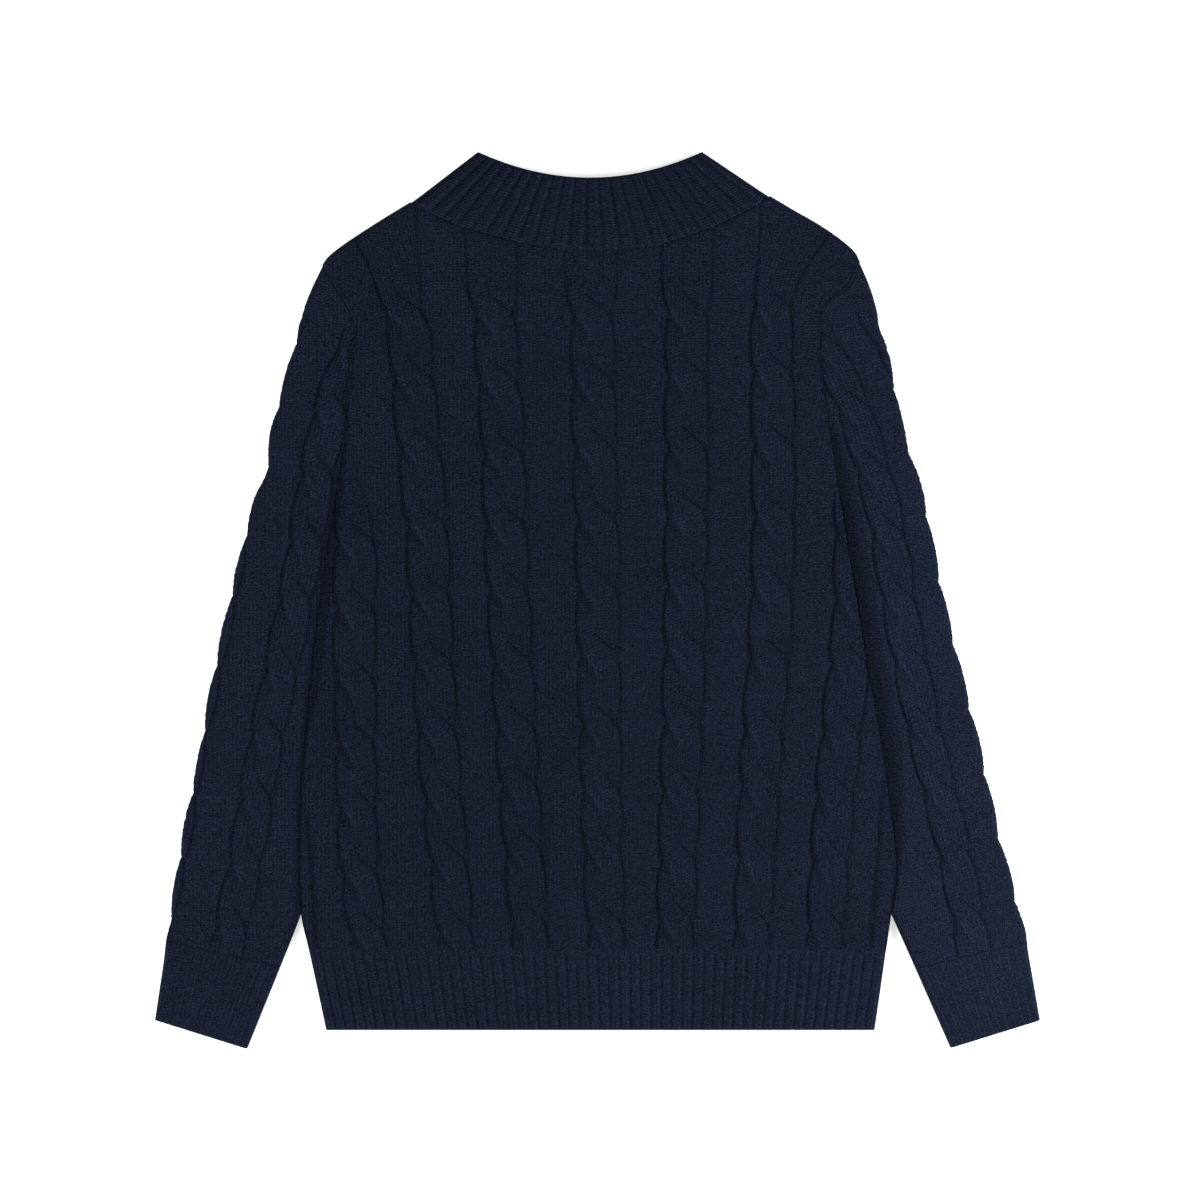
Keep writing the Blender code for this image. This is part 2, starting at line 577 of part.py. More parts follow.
def body_rise(x, y):
    ribs = rib_rise(body_rib_place(x, y)) + RIB_GROUND - GROUND
    return np.where(y < HEM_TOP_Y, ribs, knit_rise(body_ropes, x, y))


def body_rib_lines():
    """The crown and the furrow of each hem rib, as paths up the hem."""
    found = []
    for k in range(1, 2 * BODY_RIBS):
        rows = [(body_left(y), body_right(y), y) for y in HEM_ROWS]
        found.append([(left + (right - left) * k / (2 * BODY_RIBS), y) for left, right, y in rows])
    return found


def body_samples():
    found = [place for path in body_rib_lines() for place in path]
    for rope in body_ropes:
        found += rope.samples()
    for left, right in zip(body_ropes, body_ropes[1:], strict=False):
        for y in np.arange(HEM_TOP_Y + 4, 262, 15.0):
            found.append(((left.middle(y) + right.middle(y)) / 2, y))
    return found


def slider_hollow(place):
    """Rise of the back's and the collar's inner face over the slider."""
    gap = math.hypot((place[0] - ZIP_X) / 1.2, place[1] - SLIDER_Y)
    return SLIDER_HOLLOW_RISE * max(0.0, min(1.0, (SLIDER_HOLLOW_REACH - gap) / 5.0))


def hollow_places(low_y, high_y):
    """Places that catch the hollow over the slider, between two levels."""
    found = []
    for reach in (SLIDER_HOLLOW_REACH, SLIDER_HOLLOW_REACH - 5.0):
        for k in range(12):
            turn = math.tau * k / 12
            found.append((ZIP_X + 1.2 * reach * math.cos(turn), SLIDER_Y + reach * math.sin(turn)))
    return [p for p in found if low_y < p[1] < high_y]


def back(look, home):
    runs = [
        ("rim", hem), ("fold", side_right), ("seam", armhole_right), ("fold", shoulder_right),
        ("seam", neck_back[::-1]), ("fold", shoulder_left[::-1]), ("seam", armhole_left[::-1]),
        ("fold", side_left[::-1]),
    ]  # fmt: skip
    slab = Slab(runs, BACK_INNER, GROUND, body_rise)
    under = hollow_places(0, 242.5)
    mesh = slab_mesh(
        "back", slab, body_samples(), under, lambda p, k: BACK_INNER + slider_hollow(p), chains=body_rib_lines()
    )
    add_object("back", mesh, look, home)


# ---------------------------------------------------------------- fronts
def front(side, look, home):
    """A front panel. Its face is underneath and flat, and its zip edge is pressed thin for the tape."""
    sign = -1 if side == "left" else 1
    edge_x = ZIP_X + sign * TRENCH_HALF
    shoulder, armhole, flank = (
        (shoulder_left, armhole_left, side_left) if side == "left"
        else (shoulder_right, armhole_right, side_right)
    )  # fmt: skip
    seats = [ZIP_X + sign * (TAPE_SEAT + step) for step in (0.0, SEAT_STEP)]
    stations = [edge_x, *seats, *[p[0] for p in neck_front if (p[0] - seats[1]) * sign > 3.0]]
    stations = np.array(sorted(stations))
    outer_neck = np.stack([stations, np.interp(stations, neck_front[:, 0], neck_front[:, 1])], axis=1)
    neck_y = float(np.interp(edge_x, neck_front[:, 0], neck_front[:, 1]))
    bottom = np.array([(edge_x, HEM_Y), (seats[0], HEM_Y), *line((seats[1], HEM_Y), flank[0], 9)])
    if side == "left":
        bottom = bottom[::-1]
    zip_edge = line((edge_x, neck_y), (edge_x, HEM_Y), 14)
    if side == "right":
        runs = [("rim", bottom), ("fold", flank), ("seam", armhole), ("fold", shoulder),
                ("seam", outer_neck[::-1]), ("rim", zip_edge)]  # fmt: skip
    else:
        runs = [("rim", bottom), ("rim", zip_edge[::-1]), ("seam", outer_neck[::-1]),
                ("fold", shoulder[::-1]), ("seam", armhole[::-1]), ("fold", flank[::-1])]  # fmt: skip

    slab = Slab(runs, 0.0, FRONT_TOP, lambda x, y: np.zeros(np.shape(x)))
    chains = [[(x, y) for y in np.linspace(HEM_Y + 0.2, neck_y, 16)] for x in seats]
    seat = [place for chain in chains for place in chain[1:-1]]
    slab.outer = lambda points: np.where(
        np.abs(np.asarray(points)[:, 0] - ZIP_X) < TAPE_SEAT + SEAT_STEP / 2, TAPE_SEAT_TOP, FRONT_TOP
    )
    slab.settle = lambda samples: np.array([p for p in samples if inside([p], slab.outline)[0]])
    mesh = slab_mesh("front_" + side, slab, seat, *flat_under(slab), chains=chains)
    add_object("front_" + side, mesh, look, home)


# ---------------------------------------------------------------- sleeves
def sleeve(side, look, home):
    """A flattened tube, open at the cuff and at the armhole."""
    if side == "left":
        outer = spline(SLEEVE_LEFT_OUTER, STEP)
        free = spline(SLEEVE_LEFT_INNER, STEP)
        free[-1] = side_left[crotch_left]
        groove, armhole = side_left[crotch_left:], armhole_left
        crossings, rows, cuff_top, out = SLEEVE_LEFT_CROSSINGS, SLEEVE_LEFT_ROPE, CUFF_TOP_LEFT, -1
        spacing = track(SLEEVE_LEFT_SPACING)
    else:
        outer = spline(SLEEVE_RIGHT_OUTER, STEP)
        free = spline(SLEEVE_RIGHT_INNER, STEP)
        free[-1] = side_right[crotch_right]
        groove, armhole = side_right[crotch_right:], armhole_right
        crossings, rows, cuff_top, out = SLEEVE_RIGHT_CROSSINGS, SLEEVE_RIGHT_ROPE, CUFF_TOP_RIGHT, 1
        spacing = track(SLEEVE_RIGHT_SPACING)
    inner = np.concatenate([free[:-1], groove])
    cuff = line(outer[-1], free[0], 2 * CUFF_RIBS)
    aside = [(y, x + out * float(spacing(y))) for y, x in rows]
    ropes = [Rope(rows, SLEEVE_ROPE_HALF, crossings), Rope(aside, SLEEVE_ROPE_HALF, crossings)]
    slope = (cuff_top[1][1] - cuff_top[0][1]) / (cuff_top[1][0] - cuff_top[0][0])
    ends = np.array([outer[-1], free[0]])
    tops = np.array(cuff_top)

    def below_cuff_top(x, y):
        return cuff_top[0][1] + slope * (x - cuff_top[0][0]) - y

    def rise(x, y):
        ribs = rib_rise(CUFF_RIBS * across_quad(ends, tops, x, y)) + RIB_GROUND - GROUND
        return np.where(below_cuff_top(x, y) > 0, ribs, knit_rise(ropes, x, y))

    rows_of_ribs = [line(*(ends * (1 - level) + tops * level), 2 * CUFF_RIBS)[1:-1] for level in CUFF_ROWS]
    rib_lines = [[row[k] for row in rows_of_ribs] for k in range(2 * CUFF_RIBS - 1)]
    samples = [place for path in rib_lines for place in path]
    for rope in ropes:
        samples += [p for p in rope.samples() if below_cuff_top(*p) < -2]
    for y in np.arange(-230, 180, 15.0):
        middle = float(ropes[0].middle(y))
        samples += [(middle + reach * out, y) for reach in SLEEVE_CHANNELS]

    if side == "left":
        runs = [("rim", cuff), ("fold", inner), ("seam", armhole), ("fold", outer)]
    else:
        runs = [("rim", cuff[::-1]), ("fold", outer[::-1]), ("seam", armhole[::-1]), ("fold", inner[::-1])]
    slab = Slab(runs, 0.0, GROUND, rise)
    mesh = slab_mesh(
        "sleeve_" + side, slab, samples, *flat_under(slab), slit_runs=(0, 2), chains=rib_lines
    )
    add_object("sleeve_" + side, mesh, look, home)


# ---------------------------------------------------------------- collar
def collar(look, home):
    """A ribbed band round the neck, folded flat at its two sides and open at the zip."""
    middle = COLLAR_MIDDLE_X
    half_top = COLLAR_FOLD_RIGHT[1][0] - middle

    def top_y(x, dip):
        return dip + (COLLAR_FOLD_RIGHT[1][1] - dip) * ((x - middle) / half_top) ** 2

    def edge_point(share, level, front):
        """A place on the band: share from the left fold to the right one, level from seam to top."""
        neck = NECK_LINES[front]
        x = COLLAR_FOLD_LEFT[0][0] + share * (COLLAR_FOLD_RIGHT[0][0] - COLLAR_FOLD_LEFT[0][0])
        seam = np.array([x, float(np.interp(x, neck[:, 0], neck[:, 1])) + SEAM_GAP])
        x = COLLAR_FOLD_LEFT[1][0] + share * (COLLAR_FOLD_RIGHT[1][0] - COLLAR_FOLD_LEFT[1][0])
        top = np.array([x, top_y(x, COLLAR_FRONT_DIP_Y if front else COLLAR_BACK_DIP_Y)])
        return seam * (1 - level) + top * level

    def span(level):
        return edge_point(1, level, 0)[0] - edge_point(0, level, 0)[0]

    def gap_share(level, reach):
        """Shares of the two places at a reach from the zip's middle line."""
        left = edge_point(0, level, 1)[0]
        return (ZIP_X - reach - left) / span(level), (ZIP_X + reach - left) / span(level)

    def front_shares(level, side):
        """Places along one half of the front, from the zip to the fold, the same number at any level."""
        gap = gap_share(level, TRENCH_HALF)[side]
        seat = gap_share(level, TAPE_SEAT)[side]
        past_seat = gap_share(level, TAPE_SEAT + SEAT_STEP)[side]
        near = side + (1 - 2 * side) * COLLAR_FOLD_FLAT / span(level)
        return [gap, seat, *np.linspace(past_seat, near, COLLAR_FRONT_STEPS)]

    back_count = 2 * COLLAR_RIBS + 1
    inner_steps = list(range(4, back_count - 4, 2))
    front_count = COLLAR_FRONT_STEPS + 2
    points = []
    for level in np.linspace(0, 1, COLLAR_LEVELS):
        outer, inner = [], []
        left, right = front_shares(level, 0), front_shares(level, 1)
        lip = COLLAR_LIP / span(level)
        fold = SLIT_INSET / span(level)
        for k, share in enumerate(left):
            outer.append((*edge_point(share, level, 1), 0.3 if k == 0 else 0.0))
            share = fold if k == front_count - 1 else share
            inner.append((*edge_point(share, level, 1), TAPE_SEAT_TOP if k < 2 else FRONT_TOP))
        outer.append((*edge_point(lip, level, 1), UNDER_EDGE["fold"]))
        inner.append((*edge_point(fold, level, 0), BACK_INNER))
        for k in range(back_count):
            share = k / (back_count - 1)
            x, y = edge_point(share, level, 0)
            near = min(share, 1 - share, EDGE["fold"][1] / span(level)) * span(level) / EDGE["fold"][1]
            left_over = COLLAR_FOLD_SHARE + (1 - COLLAR_FOLD_SHARE) * math.sqrt(1 - (1 - near) ** 2)
            full = COLLAR_GROUND + float(rib_rise(share * COLLAR_RIBS)) + slider_hollow((x, y)) * 0.8
            outer.append((x, y, full * left_over))
            if k in inner_steps:
                inner.append((x, y, BACK_INNER + slider_hollow((x, y))))
        outer.append((*edge_point(1 - lip, level, 1), UNDER_EDGE["fold"]))
        inner.append((*edge_point(1 - fold, level, 0), BACK_INNER))
        for k, share in reversed(list(enumerate(right))):
            outer.append((*edge_point(share, level, 1), 0.3 if k == 0 else 0.0))
            share = 1 - fold if k == front_count - 1 else share
            inner.append((*edge_point(share, level, 1), TAPE_SEAT_TOP if k < 2 else FRONT_TOP))
        points += outer + inner

    outer_count, inner_count = len(outer), len(inner)
    ring = outer_count + inner_count
    faces = []
    for level in range(COLLAR_LEVELS - 1):
        base, above = level * ring, (level + 1) * ring
        loop = [*range(outer_count), *reversed(range(outer_count, ring))]
        for a, b in zip(loop, loop[1:] + loop[:1], strict=True):
            faces.append((base + a, base + b, above + b, above + a))
    rungs = [(k, k) for k in range(front_count)]
    rungs += [(front_count + 4, front_count)]
    rungs += [(front_count + 1 + k, front_count + 1 + j) for j, k in enumerate(inner_steps)]
    rungs += [(outer_count - front_count - 5, inner_count - front_count - 1)]
    rungs += [(outer_count - front_count + k, inner_count - front_count + k) for k in range(front_count)]
    for level in (0, COLLAR_LEVELS - 1):
        base = level * ring
        for (a, b), (c, d) in zip(rungs, rungs[1:], strict=False):
            outer_side = [base + k for k in range(a, c + 1)]
            inner_side = [base + outer_count + k for k in range(d, b - 1, -1)]
            faces.append(tuple(outer_side + inner_side))
    add_object("collar", mesh_from("collar", points, faces), look, home)


NECK_LINES = (neck_back, neck_front)


# ---------------------------------------------------------------- zip
def box(name, low, high, look, home):
    """A box between two corners, in millimetres."""
    grid = bmesh.new()
    bmesh.ops.create_cube(grid, size=1.0)
    size = Vector(high) - Vector(low)
    bmesh.ops.scale(grid, vec=size * MM, verts=grid.verts)
    bmesh.ops.translate(grid, vec=(Vector(low) + Vector(high)) / 2 * MM, verts=grid.verts)
    mesh = bpy.data.meshes.new(name)
    grid.to_mesh(mesh)
    grid.free()
    return add_object(name, mesh, look, home)


def bevelled(made, width):
    bevel = made.modifiers.new("edges", "BEVEL")
    bevel.width = width * MM
    bevel.segments = 2
    bevel.limit_method = "ANGLE"


def zip_strips(tape_look, metal_look, home):
    """Two tapes under the backs of the fronts' edges, the chain between them and its bottom box."""
    top = CHAIN_TOP_Y + 13.0
    for side, sign in (("left", -1), ("right", 1)):
        near, far = sorted((ZIP_X + sign * TAPE_INNER, ZIP_X + sign * TAPE_OUTER))
        box("zip_tape_" + side, (near, HEM_Y + 1.0, ZIP_PLANE - TAPE_THICK / 2),
            (far, top, ZIP_PLANE + TAPE_THICK / 2), tape_look, home)  # fmt: skip
    box("zip_chain", (ZIP_X - CHAIN_HALF, HEM_Y + 1.5 + BOX_LENGTH, ZIP_PLANE - CHAIN_THICK / 2),
        (ZIP_X + CHAIN_HALF, CHAIN_TOP_Y, ZIP_PLANE + CHAIN_THICK / 2), metal_look, home)  # fmt: skip
    made = box("zip_box", (ZIP_X - CHAIN_HALF, HEM_Y + 1.0, ZIP_PLANE - BOX_THICK / 2),
               (ZIP_X + CHAIN_HALF, HEM_Y + 1.0 + BOX_LENGTH, ZIP_PLANE + BOX_THICK / 2), metal_look, home)  # fmt: skip
    bevelled(made, 0.3)


def joined(made, other):
    """The other solid added to this one, and its object kept as a cutter."""
    union = made.modifiers.new("join_" + other.name, "BOOLEAN")
    union.operation = "UNION"
    union.object = other
    other.hide_render = True
    other.display_type = "WIRE"


def pull_axis_z():
    return ZIP_PLANE - SLIDER_SLOT / 2 - PLATE_THICK - BAIL_INNER


def slider(look, home, helpers):
    """Two plates on a post, with the bail under them that holds the pull."""
    x0, x1 = ZIP_X - SLIDER_WIDTH / 2, ZIP_X + SLIDER_WIDTH / 2
    y0, y1 = SLIDER_Y - SLIDER_LENGTH / 2, SLIDER_Y + SLIDER_LENGTH / 2
    half_slot = SLIDER_SLOT / 2
    made = box("zip_slider", (x0, y0, ZIP_PLANE - half_slot - PLATE_THICK), (x1, y1, ZIP_PLANE - half_slot),
               look, home)  # fmt: skip
    inner_plate = box("slider_inner_plate", (x0, y0, ZIP_PLANE + half_slot),
                      (x1, y1, ZIP_PLANE + half_slot + PLATE_THICK), look, helpers)  # fmt: skip
    post = box("slider_post", (ZIP_X - POST_WIDTH / 2, y1 - POST_LENGTH, ZIP_PLANE - half_slot - 0.2),
               (ZIP_X + POST_WIDTH / 2, y1 - 0.1, ZIP_PLANE + half_slot + 0.2), look, helpers)  # fmt: skip
    joined(made, post)
    joined(made, inner_plate)

    turn_steps = 10
    mid_radius = BAIL_INNER + BAIL_THICK / 2
    path = [(-mid_radius, BAIL_INNER + 0.25), (-mid_radius, 0.0)]
    path += [(-mid_radius * math.cos(math.pi * k / turn_steps), -mid_radius * math.sin(math.pi * k / turn_steps))
             for k in range(1, turn_steps)]  # fmt: skip
    path += [(mid_radius, 0.0), (mid_radius, BAIL_INNER + 0.25)]
    points, faces = [], []
    for k, (y, z) in enumerate(path):
        ahead = Vector(path[min(k + 1, len(path) - 1)]) - Vector(path[max(k - 1, 0)])
        normal = Vector((-ahead.y, ahead.x)).normalized() * BAIL_THICK / 2
        for side in (-1, 1):
            for face in (-1, 1):
                points.append((ZIP_X + side * BAIL_WIDTH / 2, SLIDER_Y + y + face * normal.x,
                               pull_axis_z() + z + face * normal.y))  # fmt: skip
    for k in range(len(path) - 1):
        a, b = 4 * k, 4 * k + 4
        faces += [(a, a + 1, b + 1, b), (a + 1, a + 3, b + 3, b + 1), (a + 3, a + 2, b + 2, b + 3),
                  (a + 2, a, b, b + 2)]  # fmt: skip
    last = 4 * (len(path) - 1)
    faces += [(0, 1, 3, 2), (last, last + 1, last + 3, last + 2)]
    bail = add_object("slider_bail", mesh_from("slider_bail", points, faces), look, helpers)
    joined(made, bail)


def pull(look, home):
    """The pull: a flat tab whose bar lies in the slider's bail, hinged about that bar."""
    axis = bpy.data.objects.new("pull_axis", None)
    axis.location = Vector((ZIP_X, SLIDER_Y, pull_axis_z())) * MM
    home.objects.link(axis)
    outline = bpy.data.curves.new("zip_pull", "CURVE")
    outline.dimensions = "2D"
    outline.fill_mode = "BOTH"
    outline.extrude = PULL_THICK / 2 * MM
    bar = PULL_THICK / 2
    half = PULL_WIDTH / 2
    round_centre = -PULL_LENGTH + half
    tip = [(half * math.cos(math.pi * k / 12), round_centre - half * math.sin(math.pi * k / 12)) for k in range(13)]
    hole_turns = [math.tau * k / 16 for k in range(16)]
    eye_low = -bar - PULL_EYE_LENGTH
    eye_half = PULL_EYE_WIDTH / 2
    rings = [
        [(-half, bar), (half, bar), *tip],
        [(-eye_half, -bar), (eye_half, -bar), (eye_half, eye_low), (-eye_half, eye_low)],
        [(PULL_HOLE_RADIUS * math.cos(t), round_centre + PULL_HOLE_RADIUS * math.sin(t)) for t in hole_turns],
    ]
    for ring in rings:
        path = outline.splines.new("POLY")
        path.points.add(len(ring) - 1)
        for point, (x, y) in zip(path.points, ring, strict=True):
            point.co = (x * MM, y * MM, 0, 1)
        path.use_cyclic_u = True
    made = bpy.data.objects.new("zip_pull", outline)
    outline.materials.append(look)
    made.parent = axis
    home.objects.link(made)


# ---------------------------------------------------------------- assembly
for old in list(bpy.data.objects):
    bpy.data.objects.remove(old)

sweater = collection("cable_knit_zip_sweater")
cutters = collection("cutters", hidden=True)
wool = material("wool_knit", WOOL_COLOUR, 0.95, 0.0)
tape = material("zip_tape", TAPE_COLOUR, 0.85, 0.0)
metal = material("zip_metal", METAL_COLOUR, 0.35, 1.0)

back(wool, sweater)
front("left", wool, sweater)
front("right", wool, sweater)
sleeve("left", wool, sweater)
sleeve("right", wool, sweater)
collar(wool, sweater)
zip_strips(tape, metal, sweater)
slider(metal, sweater, cutters)
pull(metal, sweater)
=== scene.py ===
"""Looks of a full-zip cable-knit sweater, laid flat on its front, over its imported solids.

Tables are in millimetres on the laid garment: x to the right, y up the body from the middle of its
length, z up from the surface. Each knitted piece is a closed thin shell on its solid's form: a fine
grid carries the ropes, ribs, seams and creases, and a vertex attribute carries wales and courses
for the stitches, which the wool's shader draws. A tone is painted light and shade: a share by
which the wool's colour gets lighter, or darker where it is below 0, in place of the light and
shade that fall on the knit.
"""

import math

import bmesh
import bpy
import numpy as np
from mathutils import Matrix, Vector


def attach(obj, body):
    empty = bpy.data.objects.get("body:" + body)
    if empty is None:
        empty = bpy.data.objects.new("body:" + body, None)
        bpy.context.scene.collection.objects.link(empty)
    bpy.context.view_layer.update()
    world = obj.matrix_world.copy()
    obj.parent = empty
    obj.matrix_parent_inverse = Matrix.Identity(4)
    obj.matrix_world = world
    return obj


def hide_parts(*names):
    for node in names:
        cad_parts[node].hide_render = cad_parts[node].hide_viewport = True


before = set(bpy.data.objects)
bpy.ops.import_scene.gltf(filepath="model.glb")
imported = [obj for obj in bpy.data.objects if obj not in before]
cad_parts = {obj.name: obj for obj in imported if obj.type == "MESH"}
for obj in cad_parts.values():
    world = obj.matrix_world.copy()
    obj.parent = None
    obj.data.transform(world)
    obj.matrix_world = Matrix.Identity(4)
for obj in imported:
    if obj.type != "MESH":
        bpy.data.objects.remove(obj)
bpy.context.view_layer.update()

MM = 0.001
OUT = {"left": -1, "right": 1}  # the way from the body's middle to a side

# ---- heights, as the solids have them ----
FRONT_TOP = 4.1
BACK_INNER = 4.5
GROUND = 7.0
CHANNEL_RISE = 0.9
STRAND_RISE = 2.1
RIB_RISE = 1.1
RIB_GROUND = 6.9
JOIN_RISE = 0.5  # where ropes go over into ribs
FOLD_Z = 3.7  # of a sleeve's outer and inner folds
COLLAR_FOLD_Z = 3.6
COLLAR_GROUND = 7.1

# ---- levels and counts ----
HEM_Y = -301.0
HEM_TOP_Y = -244.5
BODY_RIBS = 54
CUFF_RIBS = 12
COLLAR_RIBS = 23
WALE = 2.8  # width of a stitch
COURSE = 2.0  # height of a row
FAR = 1000.0  # farther than any piece reaches
NO_GAP = 9.0  # what the shader reads where no strand's side is near

# ---- finer form of the ropes ----
GUTTER_LOW = -0.2  # bottom of a purl gutter, from the ground
GUTTER_HALF = 0.30  # half width of a gutter where the rope beside it is widest
PINCH = 3.0  # how far a gutter swings in where its rope is narrowest
PINCH_OPEN = 0.8  # and how much wider each half of it is there
PINCH_DROP = 3.0  # from a crossing's level down to the narrowest place
SPACING = 46.0  # of the crossings, where a rope ends
SLACK = -2.4  # x of the furrow between the strands, from the rope's middle
RIGHT_FOOT = (11.5, -3.0)  # where the upper side of the strand on top reaches the right gutter
RIGHT_LEAN = 1.1  # and how far that side moves aside for each unit of height
LEFT_HEAD = (-12.0, -1.0)  # where its lower side leaves the left gutter
LEFT_LEAN = 0.6
FULL_HALF = 15.0  # half width of the rope that these are measured on
OVER_EXTRA = 0.8  # height of the strand on top over the other one
OVER_OFF = 2.0  # its highest place, down from the crossing's level
RIGHT_DEPTH = 1.2  # how deep the other strand lies beside its upper side
LEFT_DEPTH = 1.3  # and beside its lower side
UNDER_REACH = 5.5
TILT = 0.55  # of the rows on the strand on top
PLAIN_ABOVE = 13.0  # from the first crossing up to the plain knit
ROPE_START = 14.0  # length in which a rope comes up out of the plain knit
ROUGH = 0.22  # height of the body's uneven waves
ROUGH_SIZE = 70.0
BODY_SEED = 11

# ---- outlines ----
SIDE = {
    "left": (
        (-189.7, -301), (-196.1, -271), (-202, -244), (-207.2, -220), (-208.8, -186),
        (-208, -142), (-204.8, -98), (-199.8, -46), (-193.6, 5), (-187.3, 49), (-181.5, 84),
        (-175.6, 119), (-172, 161), (-169, 184)
    ),
    "right": (
        (193.7, -301), (198.1, -271), (201.9, -244), (205.3, -220), (209.3, -186),
        (204.6, -142), (197.8, -95), (188.5, -46), (180.3, 5), (172.9, 49), (166.8, 90),
        (160.8, 130), (156.9, 165), (157, 190)
    ),
}
ARMHOLE = {
    "left": ((-169, 184), (-168.6, 190), (-175.4, 205), (-184, 219), (-192.5, 234)),
    "right": ((157, 190), (158.5, 203), (166.3, 211.8), (177.5, 221), (183.6, 236)),
}
SHOULDER = {
    "left": ((-192.5, 234), (-187.2, 240.7), (-173, 251.4), (-151, 265.5), (-130.5, 278)),
    "right": ((183.6, 236), (178.2, 244.8), (160.6, 258.6), (136.6, 272.6), (120.5, 282.2)),
}
NECK_BACK = (
    (-130.5, 278), (-119, 271.3), (-95, 261), (-58, 250.8), (-26, 245.7), (12, 245.4),
    (44, 248.6), (80, 260.6), (106, 273), (120.5, 282.2)
)
NECK_FRONT = (
    (-130.5, 278), (-113, 257), (-86, 236), (-50, 221.5), (-2, 215), (44, 221.5), (78, 236),
    (103, 258), (120.5, 282.2)
)
SLEEVE_OUTER = {
    "left": (
        (-192.5, 234), (-200.7, 215), (-210.8, 183), (-221, 146), (-228, 120), (-231.9, 90),
        (-240.1, 69), (-250.3, 30), (-262.2, -21), (-271.6, -67), (-279.3, -112), (-288, -154),
        (-294.2, -191), (-301, -236.5), (-309.5, -294)
    ),
    "right": (
        (183.6, 236), (189.2, 222.5), (194.2, 205), (202.4, 175), (208.7, 147), (214.9, 117),
        (227.2, 76), (234.3, 43), (241.6, 5), (251.4, -37), (264.7, -91), (274.4, -134),
        (281, -165), (289.4, -196), (299.2, -236), (309.5, -294.2)
    ),
}
SLEEVE_INNER = {
    "left": ((-245, -314.2), (-221.4, -256), (-212.1, -233), (-207.2, -220)),
    "right": ((246.9, -313.6), (221.4, -256), (211.6, -234), (205.3, -220)),
}
CUFF_TOP = {
    "left": ((-301.3, -238.7), (-221.6, -256.9)),
    "right": ((299.9, -239.3), (221.9, -257.8)),
}

# ---- ropes of the body, left to right: (y, x of the middle), and the level of each crossing ----
ROPES = (
    (
        (84, -167), (62, -168), (-15, -169.8), (-84, -169), (-140, -168.2), (-190, -166),
        (-244, -159)
    ),
    (
        (262, -144.4), (250, -144.2), (230, -142.3), (212, -140), (200, -135.8), (188, -132),
        (160, -129.3), (119, -125.7), (49, -119.4), (-28, -115.6), (-98, -111.6),
        (-168, -105.4), (-244, -98.6)
    ),
    (
        (250, -74.4), (225, -73.8), (204, -72.6), (189, -71.2), (158, -69.5), (119, -66.6),
        (49, -64.4), (-28, -60.6), (-98, -56.6), (-168, -52.2), (-244, -46.6)
    ),
    (
        (250, -5.3), (189, -3.9), (119, -2.5), (49, -0.6), (-28, 0.5), (-98, 1.8), (-168, 3.4),
        (-244, 6.4)
    ),
    (
        (250, 62.7), (189, 62.2), (119, 62), (49, 61.8), (-28, 60.6), (-98, 58.6), (-168, 56.4),
        (-244, 53.8)
    ),
    (
        (262, 131.4), (250, 130.9), (233, 129.6), (222, 128.2), (211, 125.6), (202, 122.8),
        (189, 121.6), (119, 122.4), (49, 122.6), (-28, 120), (-98, 114.8), (-168, 111),
        (-244, 107.4)
    ),
    ((80, 180.5), (0, 179.5), (-35, 176.5), (-84, 171), (-134, 166), (-179, 162.4), (-244, 158)),
)
CROSSINGS = (
    (44, -2, -51, -96, -142, -188, -229),
    (204, 158, 109.5, 56, 7.5, -40, -87, -134, -179, -227),
    (203, 156, 105.5, 56.5, 11.5, -39.5, -85, -126, -170.5, -222),
    (202, 156.5, 109, 60, 11.5, -34, -84, -128.5, -171, -223),
    (204, 160, 110, 64, 13.5, -30, -81.5, -129.5, -177.5, -220.5),
    (207, 162.5, 112, 62, 11.5, -37, -87, -126, -177.5, -223.5),
    (50, 4, -41, -89, -133.5, -179, -224.5),
)
ROPE_HALF = (
    (262, 18.8), (228, 18.4), (212, 17), (198, 15.8), (185, 15.4), (120, 15.8), (-28, 15.2),
    (-170, 14.3), (-244, 13.4)
)
# (y, extra width) on the side of a rope that faces the armhole or shoulder
FLARE_1 = ((-60, 0), (24, 0), (52, -4), (70, -10), (84, -15))
FLARE_2 = (
    (262, 12), (250.7, 6.7), (243, 3.6), (232.5, -0.6), (223.4, -2.8), (212, -4.4),
    (203.6, -2.1), (194.4, -0.5), (185, 0), (150, 0)
)
FLARE_6 = (
    (262, 14), (248, 7.4), (236, -0.6), (222, -6), (211.5, -4.7), (202, -1), (195, -0.5),
    (150, 0)
)
NO_FLARE = ((-400, 0), (400, 0))
# flared side, flare, whether a seam cuts the rope's top off, painted shade added to the gutters at
# the top (lighter where above 0)
ROPE_TOPS = (
    (1, FLARE_1, False, 0.0), (-1, FLARE_2, True, -0.05), (0, NO_FLARE, True, -0.06),
    (0, NO_FLARE, True, -0.06), (0, NO_FLARE, True, -0.04), (1, FLARE_6, True, 0.07),
    (0, NO_FLARE, False, 0.0)
)

# ---- ropes of the sleeves, and how far the second lies outward of the first ----
SLEEVE_ROPE = {
    "left": (
        (196, -162), (150, -181), (114, -190.5), (73, -198.5), (28, -205.8), (-25, -216),
        (-92, -230.3), (-135, -238), (-180, -245.3), (-252, -261)
    ),
    "right": (
        (212, 140), (187, 153.3), (157, 168.8), (128, 181), (105, 188), (63, 199.5),
        (23, 206.5), (-28, 215.2), (-93, 228.6), (-135, 238.7), (-180, 249.8), (-250, 264)
    ),
}
SLEEVE_CROSSINGS = {
    "left": (179, 135, 90.7, 45, 3, -46, -92, -135, -180, -224.5),
    "right": (182, 138.3, 94.2, 50, 4, -39, -85, -130, -175.4, -219),
}
SLEEVE_ROPE_HALF = ((200, 13.2), (-244, 12.6))
SLEEVE_SPACING = {
    "left": ((200, 53), (-252, 53)),
    "right": ((212, 46.5), (150, 48), (60, 53), (-252, 55)),
}

